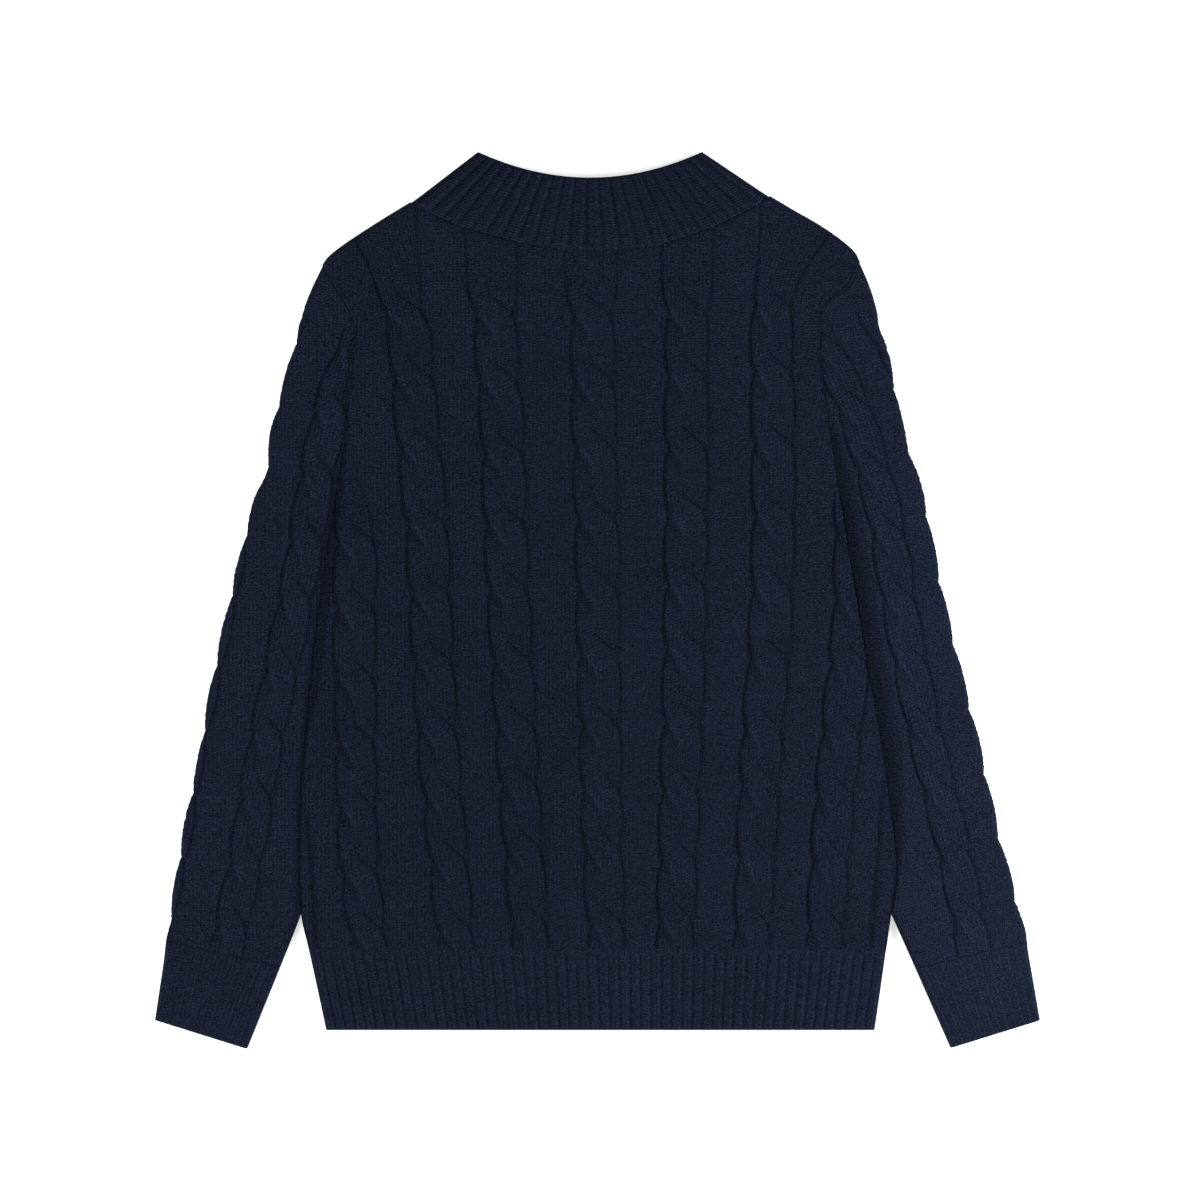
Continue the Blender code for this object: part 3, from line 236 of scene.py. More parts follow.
# ---- gutters that run by themselves: (y, x) ----
GUTTER_LEFT = ((-140, -204.6), (-170, -201.5), (-205, -199.2), (-245, -196.4))
GUTTER_RIGHT = ((-118, 199.6), (-150, 197.6), (-200, 194.2), (-245, 190.4))

# ---- soft creases: start x, y, end x, y, half width, height ----
CREASES = (
    (-16, -25.5, 160, -26, 2.2, -0.55), (-60, 84, 4, 83, 1.6, 0.45),
    (-68, -128, -70, -250, 9, -0.8), (-150, 120, -96, 92, 7, -0.5),
    (96, 150, 152, 104, 8, -0.5), (20, -150, 90, -168, 9, -0.4), (-36, 224, 40, 226, 8, -0.4),
    (150, -60, 196, -92, 7, -0.5), (-200, -60, -150, -40, 6, -0.4)
)
HEM_CREASE = CREASES[2]  # the one that goes on over the hem

# ---- shade beside the groove: (y, width), and on the right sleeve (distance in widths, tone) ----
BAND_LEFT = (
    (-301, 1.5), (-182, 2), (-98, 3), (-62, 7.6), (-14, 9), (42, 8.6), (70, 7.5), (100, 5),
    (140, 2)
)
BAND_RIGHT = ((-301, 2), (-200, 2), (-160, 6), (-110, 10), (20, 12), (90, 11), (130, 6))
SHADE_RIGHT = (
    (0, -0.52), (0.15, -0.6), (0.5, -0.6), (0.75, -0.52), (1, -0.4), (1.3, -0.26), (1.7, 0)
)

# ---- finer form of the edges, seams and creases ----
GROOVE_LAP = 0.5  # how far the edges of body and sleeve lie over one another
SCALLOP = 2.6  # how far a sleeve's outer fold swells and draws in, in all
SCALLOP_DROP = {"left": -3.0, "right": -11.0}  # from the rope's narrow places to the fold's
FUZZ = 0.16
SLEEVE_SEED = {"left": 21, "right": 22}
SEAM_GAP = -1.0  # from the neck's edge up to the collar's
LINK_PITCH = 2.8  # of the stitches that link the collar to the neck
RIDGE_AT = 1.8  # middle of a seam's ridge, from the seam
RIDGE_HALF = 1.2
UNDER_SHARE = 0.8  # height of a rope that still shows on the surface the garment lies on
UNDER_FLAT = 0.6  # share that is left of the hollows beside it

# ---- tones: painted light and shade; then colours ----
# painted shade along the edges of ropes, gutters and joins
EDGE_PAINTED_SHADE = -0.03
# painted shade in the purl gutters
GUTTER_PAINTED_SHADE = -0.16
# painted shade in the low join where the hem begins
HEM_PAINTED_SHADE = -0.07  # where the hem begins
# painted shade in the groove between body and sleeve
GROOVE_PAINTED_SHADE = -0.34
GROOVE_LEAST = {"left": 0.5, "right": 0.68}  # share of the height that is left in the groove
# painted light: each sleeve a little lighter, the right one more
SLEEVE_PAINTED_LIGHT = {"left": 0.02, "right": 0.07}
WOOL_COLOUR = (0.0073, 0.0108, 0.0222)
TAPE_COLOUR = (0.0090, 0.0120, 0.0220)
METAL_COLOUR = (0.34, 0.34, 0.35)
# painted shade and a painted highlight beside a crossing: (side, middle and half width from that
# side, tone)
CROSSING_PAINTED_SHADING = (
    ("right_side", 0.5, 0.8, -0.28), ("left_side", -2.6, 2.6, -0.22), ("left_side", 1.7, 1.7, 0.36)
)
# the three vectors kept on each point for the shader, and what is in them
KEPT = ("knit", "right_side", "left_side")
FIELDS = (
    "wale", "course", "purl", "right_gap", "right_shows", "tone", "left_gap", "left_shows", "spare"
)

# ---- grids: rows, and columns of each part of a piece ----
PANEL_ROWS = 335
MARGIN_COLUMNS = 18
ROPE_COLUMNS = 20
GUTTER_COLUMNS = 2
CHANNEL_COLUMNS = 13
LEAST_GAP = 0.55  # between two of the lines that the panel's columns follow
HEM_ROWS = 26
RIB_COLUMNS = 8
SLEEVE_ROWS = 400
SLEEVE_COLUMNS = 120
UNDER_COLUMNS = 44
SLIT_SHARES = (0.05, 0.28, 0.5, 0.72, 0.95)  # how far across a sleeve its inside's points stand
SLIT_STEP = 21
FRONT_ROWS = 240
FRONT_COLUMNS = 104
FRONT_STEP = 8
COLLAR_ROWS = 44
COLLAR_COLUMNS = 10  # of each rib
HALF_COLUMNS = 44
COLLAR_KEPT = (0, 10, 14, 20, 26, 32, 38, 41)  # columns of a front half that its inside has too

# ---- collar: the lower and upper end of each fold ----
COLLAR_FOLD = {"left": ((-130.5, 278), (-83.7, 313)), "right": ((120.5, 282.2), (73.2, 313))}
COLLAR_MIDDLE_X = -5.3
COLLAR_DIP_Y = (295.0, 265.0)  # lowest place of the upper edge, at the back and at the front
COLLAR_WARP = 0.13  # how much wider the ribs show in the middle
COLLAR_SHIFT = -0.25

# ---- zip ----
ZIP_X = -2.0
ZIP_PLANE = 3.44
TRENCH_HALF = 5.0
TAPE_SEAT_TOP = 2.75
TAPE_SEAT = 17.0
CHAIN_TOP_Y = 250.0
CHAIN_LOW_Y = HEM_Y + 11.5  # just above the bottom box
SLIDER_Y = 256.5
TOOTH_PITCH = 2.3
TOOTH_SIZE = (3.1, 1.0, 1.5)
TOOTH_OFF = 0.75  # from the chain's middle
TOOTH_BEVEL = 0.22

# ---- photograph: where its frame lies on the garment ----
FIELD_WIDTH = 840.0
VIEW_X = 1.75
VIEW_Y = -0.35
VIEW_DISTANCE = 4200.0


# ======== curves
def blend(low, high, share):
    """From one value to another by a share."""
    return low * (1 - share) + high * share


def bell(distance, reach):
    """1 at no distance, and softly less around it."""
    return np.exp(-((distance / reach) ** 2))


def ease(value, start, end):
    """0 before the start, 1 after the end and smoothly between."""
    share = np.clip((value - start) / (end - start), 0, 1)
    return share * share * (3 - 2 * share)


def round_off(distance, share, reach):
    """Share of a height that is left near an edge: `share` at the edge, all of it at the reach."""
    near = np.clip(distance / reach, 0, 1)
    return share + (1 - share) * np.sqrt(1 - (1 - near) ** 2)


def lengths(path):
    """How far along a path each of its points is."""
    return np.concatenate([[0], np.cumsum(np.linalg.norm(np.diff(path, axis=0), axis=1))])


def resampled(path, count):
    """The path again, with a number of points evenly along it."""
    travelled = lengths(path)
    wanted = np.linspace(0, travelled[-1], count)
    return np.stack([np.interp(wanted, travelled, path[:, k]) for k in (0, 1)], axis=1)


def spline(rows, step=2.0):
    """Points about a step apart on a smooth curve through the rows, first and last included."""
    knots = np.array([rows[0], *rows, rows[-1]], float)
    knots[0] += knots[0] - knots[2]
    knots[-1] += knots[-1] - knots[-3]
    before, start, end, after = (knots[k : len(knots) - 3 + k, None] for k in range(4))
    t = np.linspace(0, 1, 24, endpoint=False)[None, :, None]
    dense = (
        (2 * t**3 - 3 * t**2 + 1) * start
        + (t**3 - 2 * t**2 + t) * (end - before) / 2
        + (3 * t**2 - 2 * t**3) * end
        + (t**3 - t**2) * (after - start) / 2
    )
    dense = np.concatenate([dense.reshape(-1, 2), knots[-2:-1]])
    return resampled(dense, max(1, round(lengths(dense)[-1] / step)) + 1)


def track(rows):
    """A function that gives the second column of the rows, smoothly, at any value of the first."""
    dense = spline(rows)
    dense = dense[np.argsort(dense[:, 0])]
    return lambda value: np.interp(value, dense[:, 0], dense[:, 1])


def evenly(count):
    """Even shares from 0 to 1, one below another."""
    return np.linspace(0, 1, count)[:, None]


def gathered(count, pull):
    """Shares from 0 to 1, closer together at both ends."""
    even = np.linspace(0, 1, count + 1)
    return even - pull * np.sin(math.tau * even) / math.tau


def edge_distances(x, y):
    """Distances from a grid's first and last column and from its first and last row."""
    edges = np.s_[:, :1], np.s_[:, -1:], np.s_[:1], np.s_[-1:]
    return [np.hypot(x - x[edge], y - y[edge]) for edge in edges]


def ripple(x, y, size, seed):
    """Smooth uneven waves about `size` across, from -1 to 1."""
    draw = np.random.default_rng(seed)
    total = np.zeros(np.shape(x))
    for _ in range(9):
        turn, phase = draw.uniform(0, math.tau, 2)
        length = size * draw.uniform(0.7, 1.6)
        total += np.sin(math.tau * (x * math.cos(turn) + y * math.sin(turn)) / length + phase)
    return total / 5.0


def crease(x, y, row):
    """Height that one soft crease adds."""
    x0, y0, x1, y1, half, height = row
    run_x, run_y = x1 - x0, y1 - y0
    length = math.hypot(run_x, run_y)
    along = ((x - x0) * run_x + (y - y0) * run_y) / length**2
    wander = 1.2 * np.sin(along * 5.0 + x0)
    aside = ((x - x0) * run_y - (y - y0) * run_x) / length + wander
    ends = ease(along, -0.05, 0.25) * (1 - ease(along, 0.75, 1.05))
    return height * bell(aside, half) * ends


# ======== knit
class Rope:
    """A cable of two strands that cross, the gutter on each side, and the place of each stitch."""

    def __init__(self, middle, half, crossings, flare_side=0, flare=NO_FLARE, cut=False, tone=0.0):
        self.middle = track(middle)
        self.half = track(half)
        self.crossings = np.array(crossings, float)
        self.top = FAR if cut else middle[0][0]  # one that a seam cuts has no top of its own
        self.flare_side = flare_side
        self.flare = track(flare)
        self.top_gutter_shade = tone

    def begun(self, y):
        """0 at the rope's top and 1 where it is whole."""
        return ease(y, self.top, self.top - ROPE_START)

    def plain(self, y):
        """How far the rope has turned to plain knit, above its first crossing."""
        first = self.crossings[0] + PLAIN_ABOVE
        return ease(y, first, first + ROPE_START)

    def narrow(self, y):
        """1 where the rope is narrowest, which is just below each crossing, and 0 between."""
        levels = self.crossings - PINCH_DROP
        first = levels[0]
        levels = np.concatenate([[first + SPACING], levels, [levels[-1] - SPACING]])
        swing = np.zeros(np.shape(y))
        for high, low in zip(levels, levels[1:]):
            share = (y - low) / (high - low)
            inside = (share >= 0) & (share <= 1)
            swing = np.where(inside, 1 - np.sin(math.pi * np.clip(share, 0, 1)) ** 0.6, swing)
        return swing * (1 - ease(y, first + 2.0, first + 20.0))

    def edges(self, y, outward):
        """x of the rope's own edges (outward -1) or of the plain knit's beyond its gutters (1)."""
        narrow = self.narrow(y)
        reach = self.half(y) - PINCH * narrow + outward * (GUTTER_HALF + PINCH_OPEN * narrow)
        flares = [(side == self.flare_side) * self.flare(y) for side in (-1, 1)]
        return self.middle(y) - (reach + flares[0]), self.middle(y) + (reach + flares[1])

    def inward(self, x, y, outward):
        """How far inside those edges a place is."""
        low, high = self.edges(y, outward)
        return np.minimum(x - low, high - x)

    def aside(self, x, y):
        """How far to the right of the rope's middle a place is."""
        return x - sum(self.edges(y, 0)) / 2

    def gaps(self, y):
        """Lengths down from the crossing above and up from the crossing below."""
        levels = self.crossings
        below = np.searchsorted(-levels, -y)
        down = np.where(below > 0, levels[np.maximum(below - 1, 0)] - y, FAR)
        up = np.where(below < len(levels), y - levels[np.minimum(below, len(levels) - 1)], FAR)
        return down, up

    def from_over(self, y):
        """Length along the rope from the middle of the nearest strand on top."""
        down, up = self.gaps(y)
        return np.minimum(np.abs(down + OVER_OFF), np.abs(up - OVER_OFF))

    def crossing_sides(self, x, y):
        """Signed gaps from the two sides of the strand on top, and how much each shows.

        From the left gutter its lower side comes down to the furrow between the strands. The
        furrow runs down to the next crossing, and goes on as that one's upper side to the right
        gutter, so both gaps are the furrow's in between.
        """
        half, aside = self.half(y) / FULL_HALF, self.aside(x, y)
        down, up = self.gaps(y)

        def gap(beyond, way, full_lean):
            """Gap from a side that lies so far beyond the furrow, or at least on it."""
            beyond = (beyond + np.sqrt(beyond**2 + 1.5)) / 2
            lean = full_lean * ease(beyond, 0.5, 2.5)
            return (aside - (SLACK + way * beyond) * half) / np.sqrt(1 + lean**2)

        reach, past = RIGHT_FOOT[0] - SLACK, down + RIGHT_FOOT[1]
        upper = reach + RIGHT_LEAN * np.where(past < 0, past, RIGHT_FOOT[1] - up)
        end = reach / RIGHT_LEAN
        upper_shows = ease(past, 0.0, -2.5) + ease(up, end + 9.0, end - 3.0)
        reach = SLACK - LEFT_HEAD[0]
        lower = reach - LEFT_LEAN * (down + LEFT_HEAD[1])
        end = reach / LEFT_LEAN - LEFT_HEAD[1]
        lower_shows = ease(down, 0.5, 6.0) * (1 - ease(down, end - 3.0, end + 9.0))
        fade = 1 - self.plain(y)
        return (gap(upper, 1, RIGHT_LEAN), np.clip(upper_shows, 0, 1) * fade,
                gap(lower, -1, LEFT_LEAN), lower_shows * fade)

    def rise(self, x, y):
        """Height over the ground."""
        right_gap, right_shows, left_gap, left_shows = self.crossing_sides(x, y)
        furrow = 0.55 * (1 - right_shows) * (1 - left_shows) * bell(right_gap, 1.8)
        over = OVER_EXTRA * bell(self.from_over(y), 12.0)
        height = STRAND_RISE
        for gap, shows, depth, lip in (
            (right_gap, right_shows, RIGHT_DEPTH, 0.7),
            (-left_gap, left_shows, LEFT_DEPTH, 0.6),
        ):
            under = shows / (1 + np.exp(-np.clip(gap / 0.35, -40, 40)))
            over = over * (1 - under)
            height = height - depth * under * np.exp(-np.maximum(gap, 0) / UNDER_REACH)
            height = height - lip * shows * (1 - under) * np.exp(np.minimum(gap, 0) / 0.9)
        height = blend(height + over - furrow, CHANNEL_RISE, self.plain(y))
        inward = np.maximum(self.inward(x, y, -1), 0)
        return blend(np.maximum(height, 0.1), GUTTER_LOW, np.exp(-inward / 0.8))

    def stitches(self, x, y):
        """Wale and course numbers, with courses that tilt on the strand on top."""
        aside = self.aside(x, y)
        return aside / WALE, (y - TILT * bell(self.from_over(y), 11.0) * aside) / COURSE


class Knit:
    """What is known of each point of a knitted face: its height and what the shader reads."""

    def __init__(self, **values):
        for name in ("rise", *FIELDS):
            setattr(self, name, values.get(name, 0.0))

    def choose(self, chosen, **values):
        """Takes other values where they are chosen."""
        for name, value in values.items():
            setattr(self, name, np.where(chosen, value, getattr(self, name)))

    def fields(self, shape):
        """The three vectors kept on each point."""
        values = [np.broadcast_to(getattr(self, name), shape) for name in FIELDS]
        return np.split(np.stack(values, axis=-1), 3, axis=-1)


def knit_form(x, y, ropes, lone=()):
    """The knit of a panel with ropes and with gutters that run by themselves."""
    gap = np.full(np.shape(x), FAR)  # from the nearest edge of the plain knit
    for rope in ropes:
        own = np.maximum(-rope.inward(x, y, 1), 0) + 12.0 * (1 - rope.begun(y))
        gap = np.where(y < rope.top, np.minimum(gap, own), gap)
    # painted shade along the plain knit's edges beside the gutters
    rise, tone = blend(CHANNEL_RISE, GUTTER_LOW, np.exp(-gap / 0.7)), EDGE_PAINTED_SHADE * np.exp(-gap / 0.5)
    knit = Knit(rise=rise, wale=x / WALE, course=y / COURSE, purl=bell(gap, 0.8), tone=tone,
                right_gap=NO_GAP, left_gap=NO_GAP)
    for rope in ropes:
        inward, begun = rope.inward(x, y, -1), rope.begun(y)
        in_gutter = (y < rope.top) & (rope.inward(x, y, 1) > 0)
        on_rope = (y < rope.top) & (inward > 0)
        above = ease(y, rope.crossings[0] - 5.0, rope.crossings[0] + 12.0)
        # painted shade in the gutters, a little less where the rope is narrowest
        depth = (GUTTER_PAINTED_SHADE + 0.04 * rope.narrow(y) + rope.top_gutter_shade * above) * begun
        right_gap, right_shows, left_gap, left_shows = rope.crossing_sides(x, y)
        knit.choose(in_gutter, tone=np.minimum(depth, knit.tone), purl=begun,
                    right_gap=right_gap, left_gap=left_gap)
        wale, course = rope.stitches(x, y)
        # on the rope, painted shade along its own edges
        knit.choose(
            on_rope, rise=blend(knit.rise, rope.rise(x, y), begun), wale=wale, course=course,
            purl=0.0, tone=EDGE_PAINTED_SHADE * np.exp(-np.maximum(inward, 0) / 0.5) * begun,
            right_shows=right_shows * begun, left_shows=left_shows * begun,
        )
    for path, low, high in lone:
        ends = ease(y, low, low + 8.0) * (1 - ease(y, high - 18.0, high))
        own = ends * bell(x - path(y), 1.5)
        # a gutter that runs by itself: a groove with painted shade in it
        knit.rise, knit.tone = knit.rise - 1.2 * own, knit.tone - 0.4 * own
    return knit


def rib_form(place, y):
    """The same for ribs, with a whole number of the place in each furrow."""
    wave = np.abs(np.sin(math.pi * place))
    rise = RIB_GROUND - GROUND + RIB_RISE * (1.35 * wave**0.8 - 0.35)
    # painted shade in the furrows between the ribs
    return Knit(rise=rise, wale=2 * place, course=y / COURSE, purl=np.clip(1.2 - 4.0 * wave, 0, 1),
                tone=-0.38 * (1 - wave) ** 2 + 0.05)


def joined(low, high, share):
    """One knit below another, by a share that is 1 where the lower one is."""
    start = np.abs(2 * share - 1)
    high.choose(share > 0.5, **vars(low))
    # painted shade along the join
    high.rise, high.tone = blend(JOIN_RISE, high.rise, start), blend(EDGE_PAINTED_SHADE, high.tone, start)
    return high


# ======== meshes
class Shell:
    """Points, faces and knit attributes of one closed piece."""

    def __init__(self):
        self.blocks = ([], [], [], [])  # the points, and the three vectors of each
        self.count = 0
        self.quads = []
        self.polygons = []

    def add(self, x, y, z, knit=None, columns=slice(None)):
        """Adds an array of points, or some columns of it, and gives their numbers."""
        x, y, z = np.broadcast_arrays(x, y, z)
        fields = (knit or Knit(wale=x / WALE, course=y / COURSE)).fields(x.shape)
        for kept, field in zip(self.blocks, (np.stack([x, y, z], axis=-1), *fields), strict=True):
            kept.append(field[..., columns, :].reshape(-1, 3))
        shape = x[..., columns].shape
        start, self.count = self.count, self.count + math.prod(shape)
        return np.arange(start, self.count).reshape(shape)

    def fill(self, numbers, flip=False):
        """Four-sided faces over a grid of point numbers, cut the way the cables lean."""
        low, high = numbers[:-1], numbers[1:]
        corners = [low[:, 1:], high[:, 1:], high[:, :-1], low[:, :-1]]
        quads = np.stack(corners[::-1] if flip else corners, axis=-1)
        self.quads.append(quads.reshape(-1, 4))

    def face(self, x, y, z, knit=None, columns=slice(None), flip=False):
        """Points and the faces between them."""
        numbers = self.add(x, y, z, knit, columns)
        self.fill(numbers, flip)
        return numbers

    def wall(self, low, high):
        """Faces between two rows with a point of one beside each point of the other."""
        self.fill(np.stack([low, high], axis=1))

    def bridge(self, fine, coarse, at):
        """Faces between two rows, where `at` says which fine point each coarse one stands by."""
        for k in range(len(coarse) - 1):
            self.polygons.append([*fine[at[k] : at[k + 1] + 1], coarse[k + 1], coarse[k]])

    def build(self, name):
        points, *fields = (np.concatenate(blocks) for blocks in self.blocks)
        faces = [tuple(face) for block in self.quads for face in block.tolist()]
        faces += [tuple(int(k) for k in polygon) for polygon in self.polygons]
        mesh = bpy.data.meshes.new(name)
        mesh.from_pydata((points * MM).tolist(), [], faces)
        for title, field in zip(KEPT, fields, strict=True):
            kept = mesh.attributes.new(title, "FLOAT_VECTOR", "POINT")
            kept.data.foreach_set("vector", field.astype(np.float32).ravel())
        grid = bmesh.new()
        grid.from_mesh(mesh)
        bmesh.ops.recalc_face_normals(grid, faces=grid.faces)
        return finished(name, mesh, grid, 75.0, wool)


def flat_backed(name, x, y, z, knit):
    """A knitted face with walls from its border down to a flat inside."""
    shell = Shell()
    numbers = shell.face(x, y, z, knit)
    border = [numbers[0, :-1], numbers[:-1, -1], numbers[-1, :0:-1], numbers[:0:-1, 0]]
    border = np.concatenate(border)
    places = np.concatenate(shell.blocks[0])[border]
    low = shell.add(places[:, 0], places[:, 1], BACK_INNER)
    shell.quads.append(np.stack([low, np.roll(low, -1), np.roll(border, -1), border], axis=-1))
    shell.polygons.append(low[::-1])
    return shell.build(name)


def stood(name, data, place=(0, 0, 0)):
    """A new object in the scene."""
    made = bpy.data.objects.new(name, data)
    made.location = place
    bpy.context.scene.collection.objects.link(made)
    return made


def finished(name, mesh, grid, sharp_degrees, look):
    """A piece of the garment from a grid, smooth but for its sharp edges."""
    grid.to_mesh(mesh)
    grid.free()
    mesh.polygons.foreach_set("use_smooth", [True] * len(mesh.polygons))
    mesh.update()
    mesh.set_sharp_from_angle(angle=math.radians(sharp_degrees))
    mesh.materials.append(look)
    made = stood(name, mesh)
    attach(made, "garment")
    return made


# ======== materials
class Nodes:
    """Short ways to add shader nodes to one material."""

    def __init__(self, name):
        self.material = bpy.data.materials.new(name)
        self.material.use_nodes = True
        self.tree = self.material.node_tree
        self.shader = self.tree.nodes["Principled BSDF"]

    def make(self, kind, inputs, **settings):
        """The outputs of a new node with these inputs and settings."""
        node = self.tree.nodes.new(kind)
        for key, value in settings.items():
            setattr(node, key, value)
        for name, value in inputs.items():
            self.put(node.inputs[name], value)
        return node.outputs

    def put(self, socket, value):
        if isinstance(value, bpy.types.NodeSocket):
            self.tree.links.new(value, socket)
        else:
            socket.default_value = value

    def look(self, **values):
        """Sets the surface's inputs, which have spaces in their names, and gives the material."""
        for name, value in values.items():
            self.put(self.shader.inputs[name.replace("_", " ")], value)
        return self.material

    def math(self, operation, first, second=0.0, third=0.0):
        inputs = {0: first, 1: second, 2: third}
        return self.make("ShaderNodeMath", inputs, operation=operation)[0]

    def plus(self, first, second):
        return self.math("ADD", first, second)

    def times(self, first, *others):
        for value in others:
            first = self.math("MULTIPLY", first, value)
        return first

    def mix(self, share, first, second):
        """A number between two, by a share."""
        rest = self.math("SUBTRACT", 1.0, share)
        return self.plus(self.times(first, rest), self.times(second, share))

    def scaled(self, value, low, high):
        """A 0 to 1 value spread between two numbers."""
        return self.math("MULTIPLY_ADD", value, high - low, low)

    def wave(self, operation, value):
        """A sine or cosine from 0 to 1."""
        return self.math("MULTIPLY_ADD", self.math(operation, value), 0.5, 0.5)

    def place(self):
        return self.make("ShaderNodeTexCoord", {})["Object"]

    def split(self, vector):
        return self.make("ShaderNodeSeparateXYZ", {0: vector})

    def noise(self, vector, scale, detail=2.0, roughness=0.5):
        inputs = {"Vector": vector, "Scale": scale, "Detail": detail, "Roughness": roughness}
        return self.make("ShaderNodeTexNoise", inputs)["Fac"]

    def tint(self, colour, amount):
        """A colour times a number."""
        inputs = {0: colour, "Scale": amount}
        return self.make("ShaderNodeVectorMath", inputs, operation="SCALE")[0]

    def bump(self, height, distance):
        inputs = {"Strength": 1.0, "Distance": distance, "Height": height}
        return self.make("ShaderNodeBump", inputs)[0]


def wool_material():
    """Matt navy wool: stitches from the knit attribute, painted light and shade from the tone
    attribute and beside crossings, marl and fuzz.
    """
    n = Nodes("wool_knit")
    kept = {title: n.make("ShaderNodeAttribute", {}, attribute_name=title) for title in KEPT}
    parts = {title: n.split(outputs["Vector"]) for title, outputs in kept.items()}
    wale, course, purl = parts["knit"]
    place = n.place()

    # two arms to a stitch in the plain knit, and dashes in the purl gutters; in the colour these
    # are partly the knit's own look and partly painted shade between the loops
    course = n.plus(course, n.scaled(n.noise(place, 330.0), -0.8, 0.8))
    aside = n.math("ABSOLUTE", n.math("SUBTRACT", n.math("FRACT", wale), 0.5))
    turn = n.times(aside, math.tau)
    arm = n.math("POWER", n.math("ABSOLUTE", n.math("SINE", turn)), 0.45)
    row = n.wave("COSINE", n.times(n.plus(course, n.times(aside, 0.6)), math.tau))
    loops = n.mix(purl, n.times(arm, row), n.scaled(row, 0.25, 0.75))
    column = n.mix(purl, n.math("MULTIPLY_ADD", n.math("COSINE", turn), 0.17, 1.0), 1.0)
    cell = {0: n.math("FLOOR", n.times(wale, 2.0)), 1: n.math("FLOOR", n.plus(course, 0.5))}
    cell = {"Vector": n.make("ShaderNodeCombineXYZ", cell)[0]}
    uneven = n.make("ShaderNodeTexWhiteNoise", cell, noise_dimensions="2D")["Value"]

    fibre = n.noise(place, 1100.0, 2.0, 0.7)
    # painted light and shade: the tone attribute, painted shade beside each crossing and a painted
    # highlight on the lower side of the strand on top
    light = n.plus(parts["right_side"][2], 1.0)
    for title, middle, reach, tone in CROSSING_PAINTED_SHADING:
        gap, shows, _ = parts[title]
        off = n.math("DIVIDE", n.math("SUBTRACT", gap, middle), reach)
        light = n.plus(light, n.times(n.math("EXPONENT", n.times(off, off, -1.0)), shows, tone))
    amount = n.times(
        n.scaled(loops, 0.86, 1.22),
        n.scaled(n.noise(place, 420.0, 2.0, 0.6), 0.80, 1.20),
        column,
        n.math("MAXIMUM", n.scaled(fibre, -1.0, 3.0), 0.10),
        n.scaled(uneven, 0.88, 1.12),
        n.scaled(n.noise(place, 14.0), 0.85, 1.15),
        n.math("MAXIMUM", light, 0.08),
    )
    bump = n.bump(n.math("MULTIPLY_ADD", fibre, 0.5, loops), 0.0005)
    return n.look(Base_Color=n.tint(WOOL_COLOUR, amount), Normal=bump, Roughness=1.0,
                  Specular_IOR_Level=0.05)


def tape_material():
    """Woven zip tape: a fine herringbone across the tape."""
    n = Nodes("zip_tape")
    place = n.place()
    x, y, _ = n.split(place)
    zig = n.math("PINGPONG", x, 0.0016)
    weave = n.wave("SINE", n.times(n.plus(y, zig), math.tau / 0.0011))
    thread = n.math("SINE", n.times(x, math.tau / 0.0008))
    amount = n.times(n.scaled(weave, 0.75, 1.25), n.scaled(n.noise(place, 900.0), 0.8, 1.2))
    bump = n.bump(n.math("MULTIPLY_ADD", thread, 0.2, weave), 0.00015)
    return n.look(Base_Color=n.tint(TAPE_COLOUR, amount), Normal=bump, Roughness=0.8)


def metal_material():
    """Dark nickel, brushed by use."""
    n = Nodes("zip_metal")
    place = n.place()
    scratch = n.noise(place, 2200.0, 3.0, 0.6)
    worn = n.scaled(n.noise(place, 320.0), 0.75, 1.25)
    return n.look(Base_Color=n.tint(METAL_COLOUR, worn), Roughness=n.scaled(scratch, 0.22, 0.46),
                  Normal=n.bump(scratch, 0.00004), Metallic=1.0)


wool = wool_material()
tape = tape_material()
metal = metal_material()

# ======== shared edges
flanks = {side: track([(y, x) for x, y in (*SIDE[side], *ARMHOLE[side][1:])]) for side in OUT}
bands = {"left": track(BAND_LEFT), "right": track(BAND_RIGHT)}
body_ropes = [
    Rope(path, ROPE_HALF, crossings, *top)
    for path, crossings, top in zip(ROPES, CROSSINGS, ROPE_TOPS, strict=True)
]
lone_gutters = [(track(GUTTER_LEFT), -260.0, -140.0), (track(GUTTER_RIGHT), -260.0, -118.0)]


def column_tops(place, low, border):
    """Level where each column of a panel meets the border above it.

    `place` gives the columns' x at an array of levels, and the search starts at `low`.
    """
    levels = np.arange(low, 280.25, 0.5)[:, None]
    edges = np.interp(place(levels), border[:, 0], border[:, 1])
    over = levels > edges
    first = np.where(over.any(axis=0), over.argmax(axis=0), len(levels) - 1)
    return edges[first, np.arange(edges.shape[1])]


def groove(distance, y, side, piece):
    """Share of a height that is left near the groove between body and sleeve, and the painted shade
    in and beside the groove.
    """
    held = round_off(distance, blend(GROOVE_LEAST[side], 0.98, ease(y, 105.0, 160.0)), 2.6)
    band, high = bands[side](y), 0.0
    upper = ease(y, 105.0, 145.0)  # beside the armhole a soft shade takes the groove's place
    # painted shade in the groove and beside it; high is a soft painted shade beside the armhole
    if side == "left" and piece == "sleeve":
        tone = GROOVE_PAINTED_SHADE * (1 - ease(distance, 1.5, 7.5))
        high = -0.36 * bell(distance - 7.5 * upper, 5.5) * ease(y, 195.0, 178.0)
    elif side == "left":
        tone = GROOVE_PAINTED_SHADE * (1 - ease(distance, band - 1.6, band + 0.8))
    elif piece == "sleeve":
        tone = np.interp(distance / band, *zip(*SHADE_RIGHT, strict=True))
        high = -0.42 * bell(distance, 5.0) * ease(y, 198.0, 168.0)
    else:
        tone = GROOVE_PAINTED_SHADE * bell(distance, 1.7)
        high = -0.36 * bell(distance, 4.5) * ease(y, 198.0, 168.0)
    return held, blend(tone, high, upper)


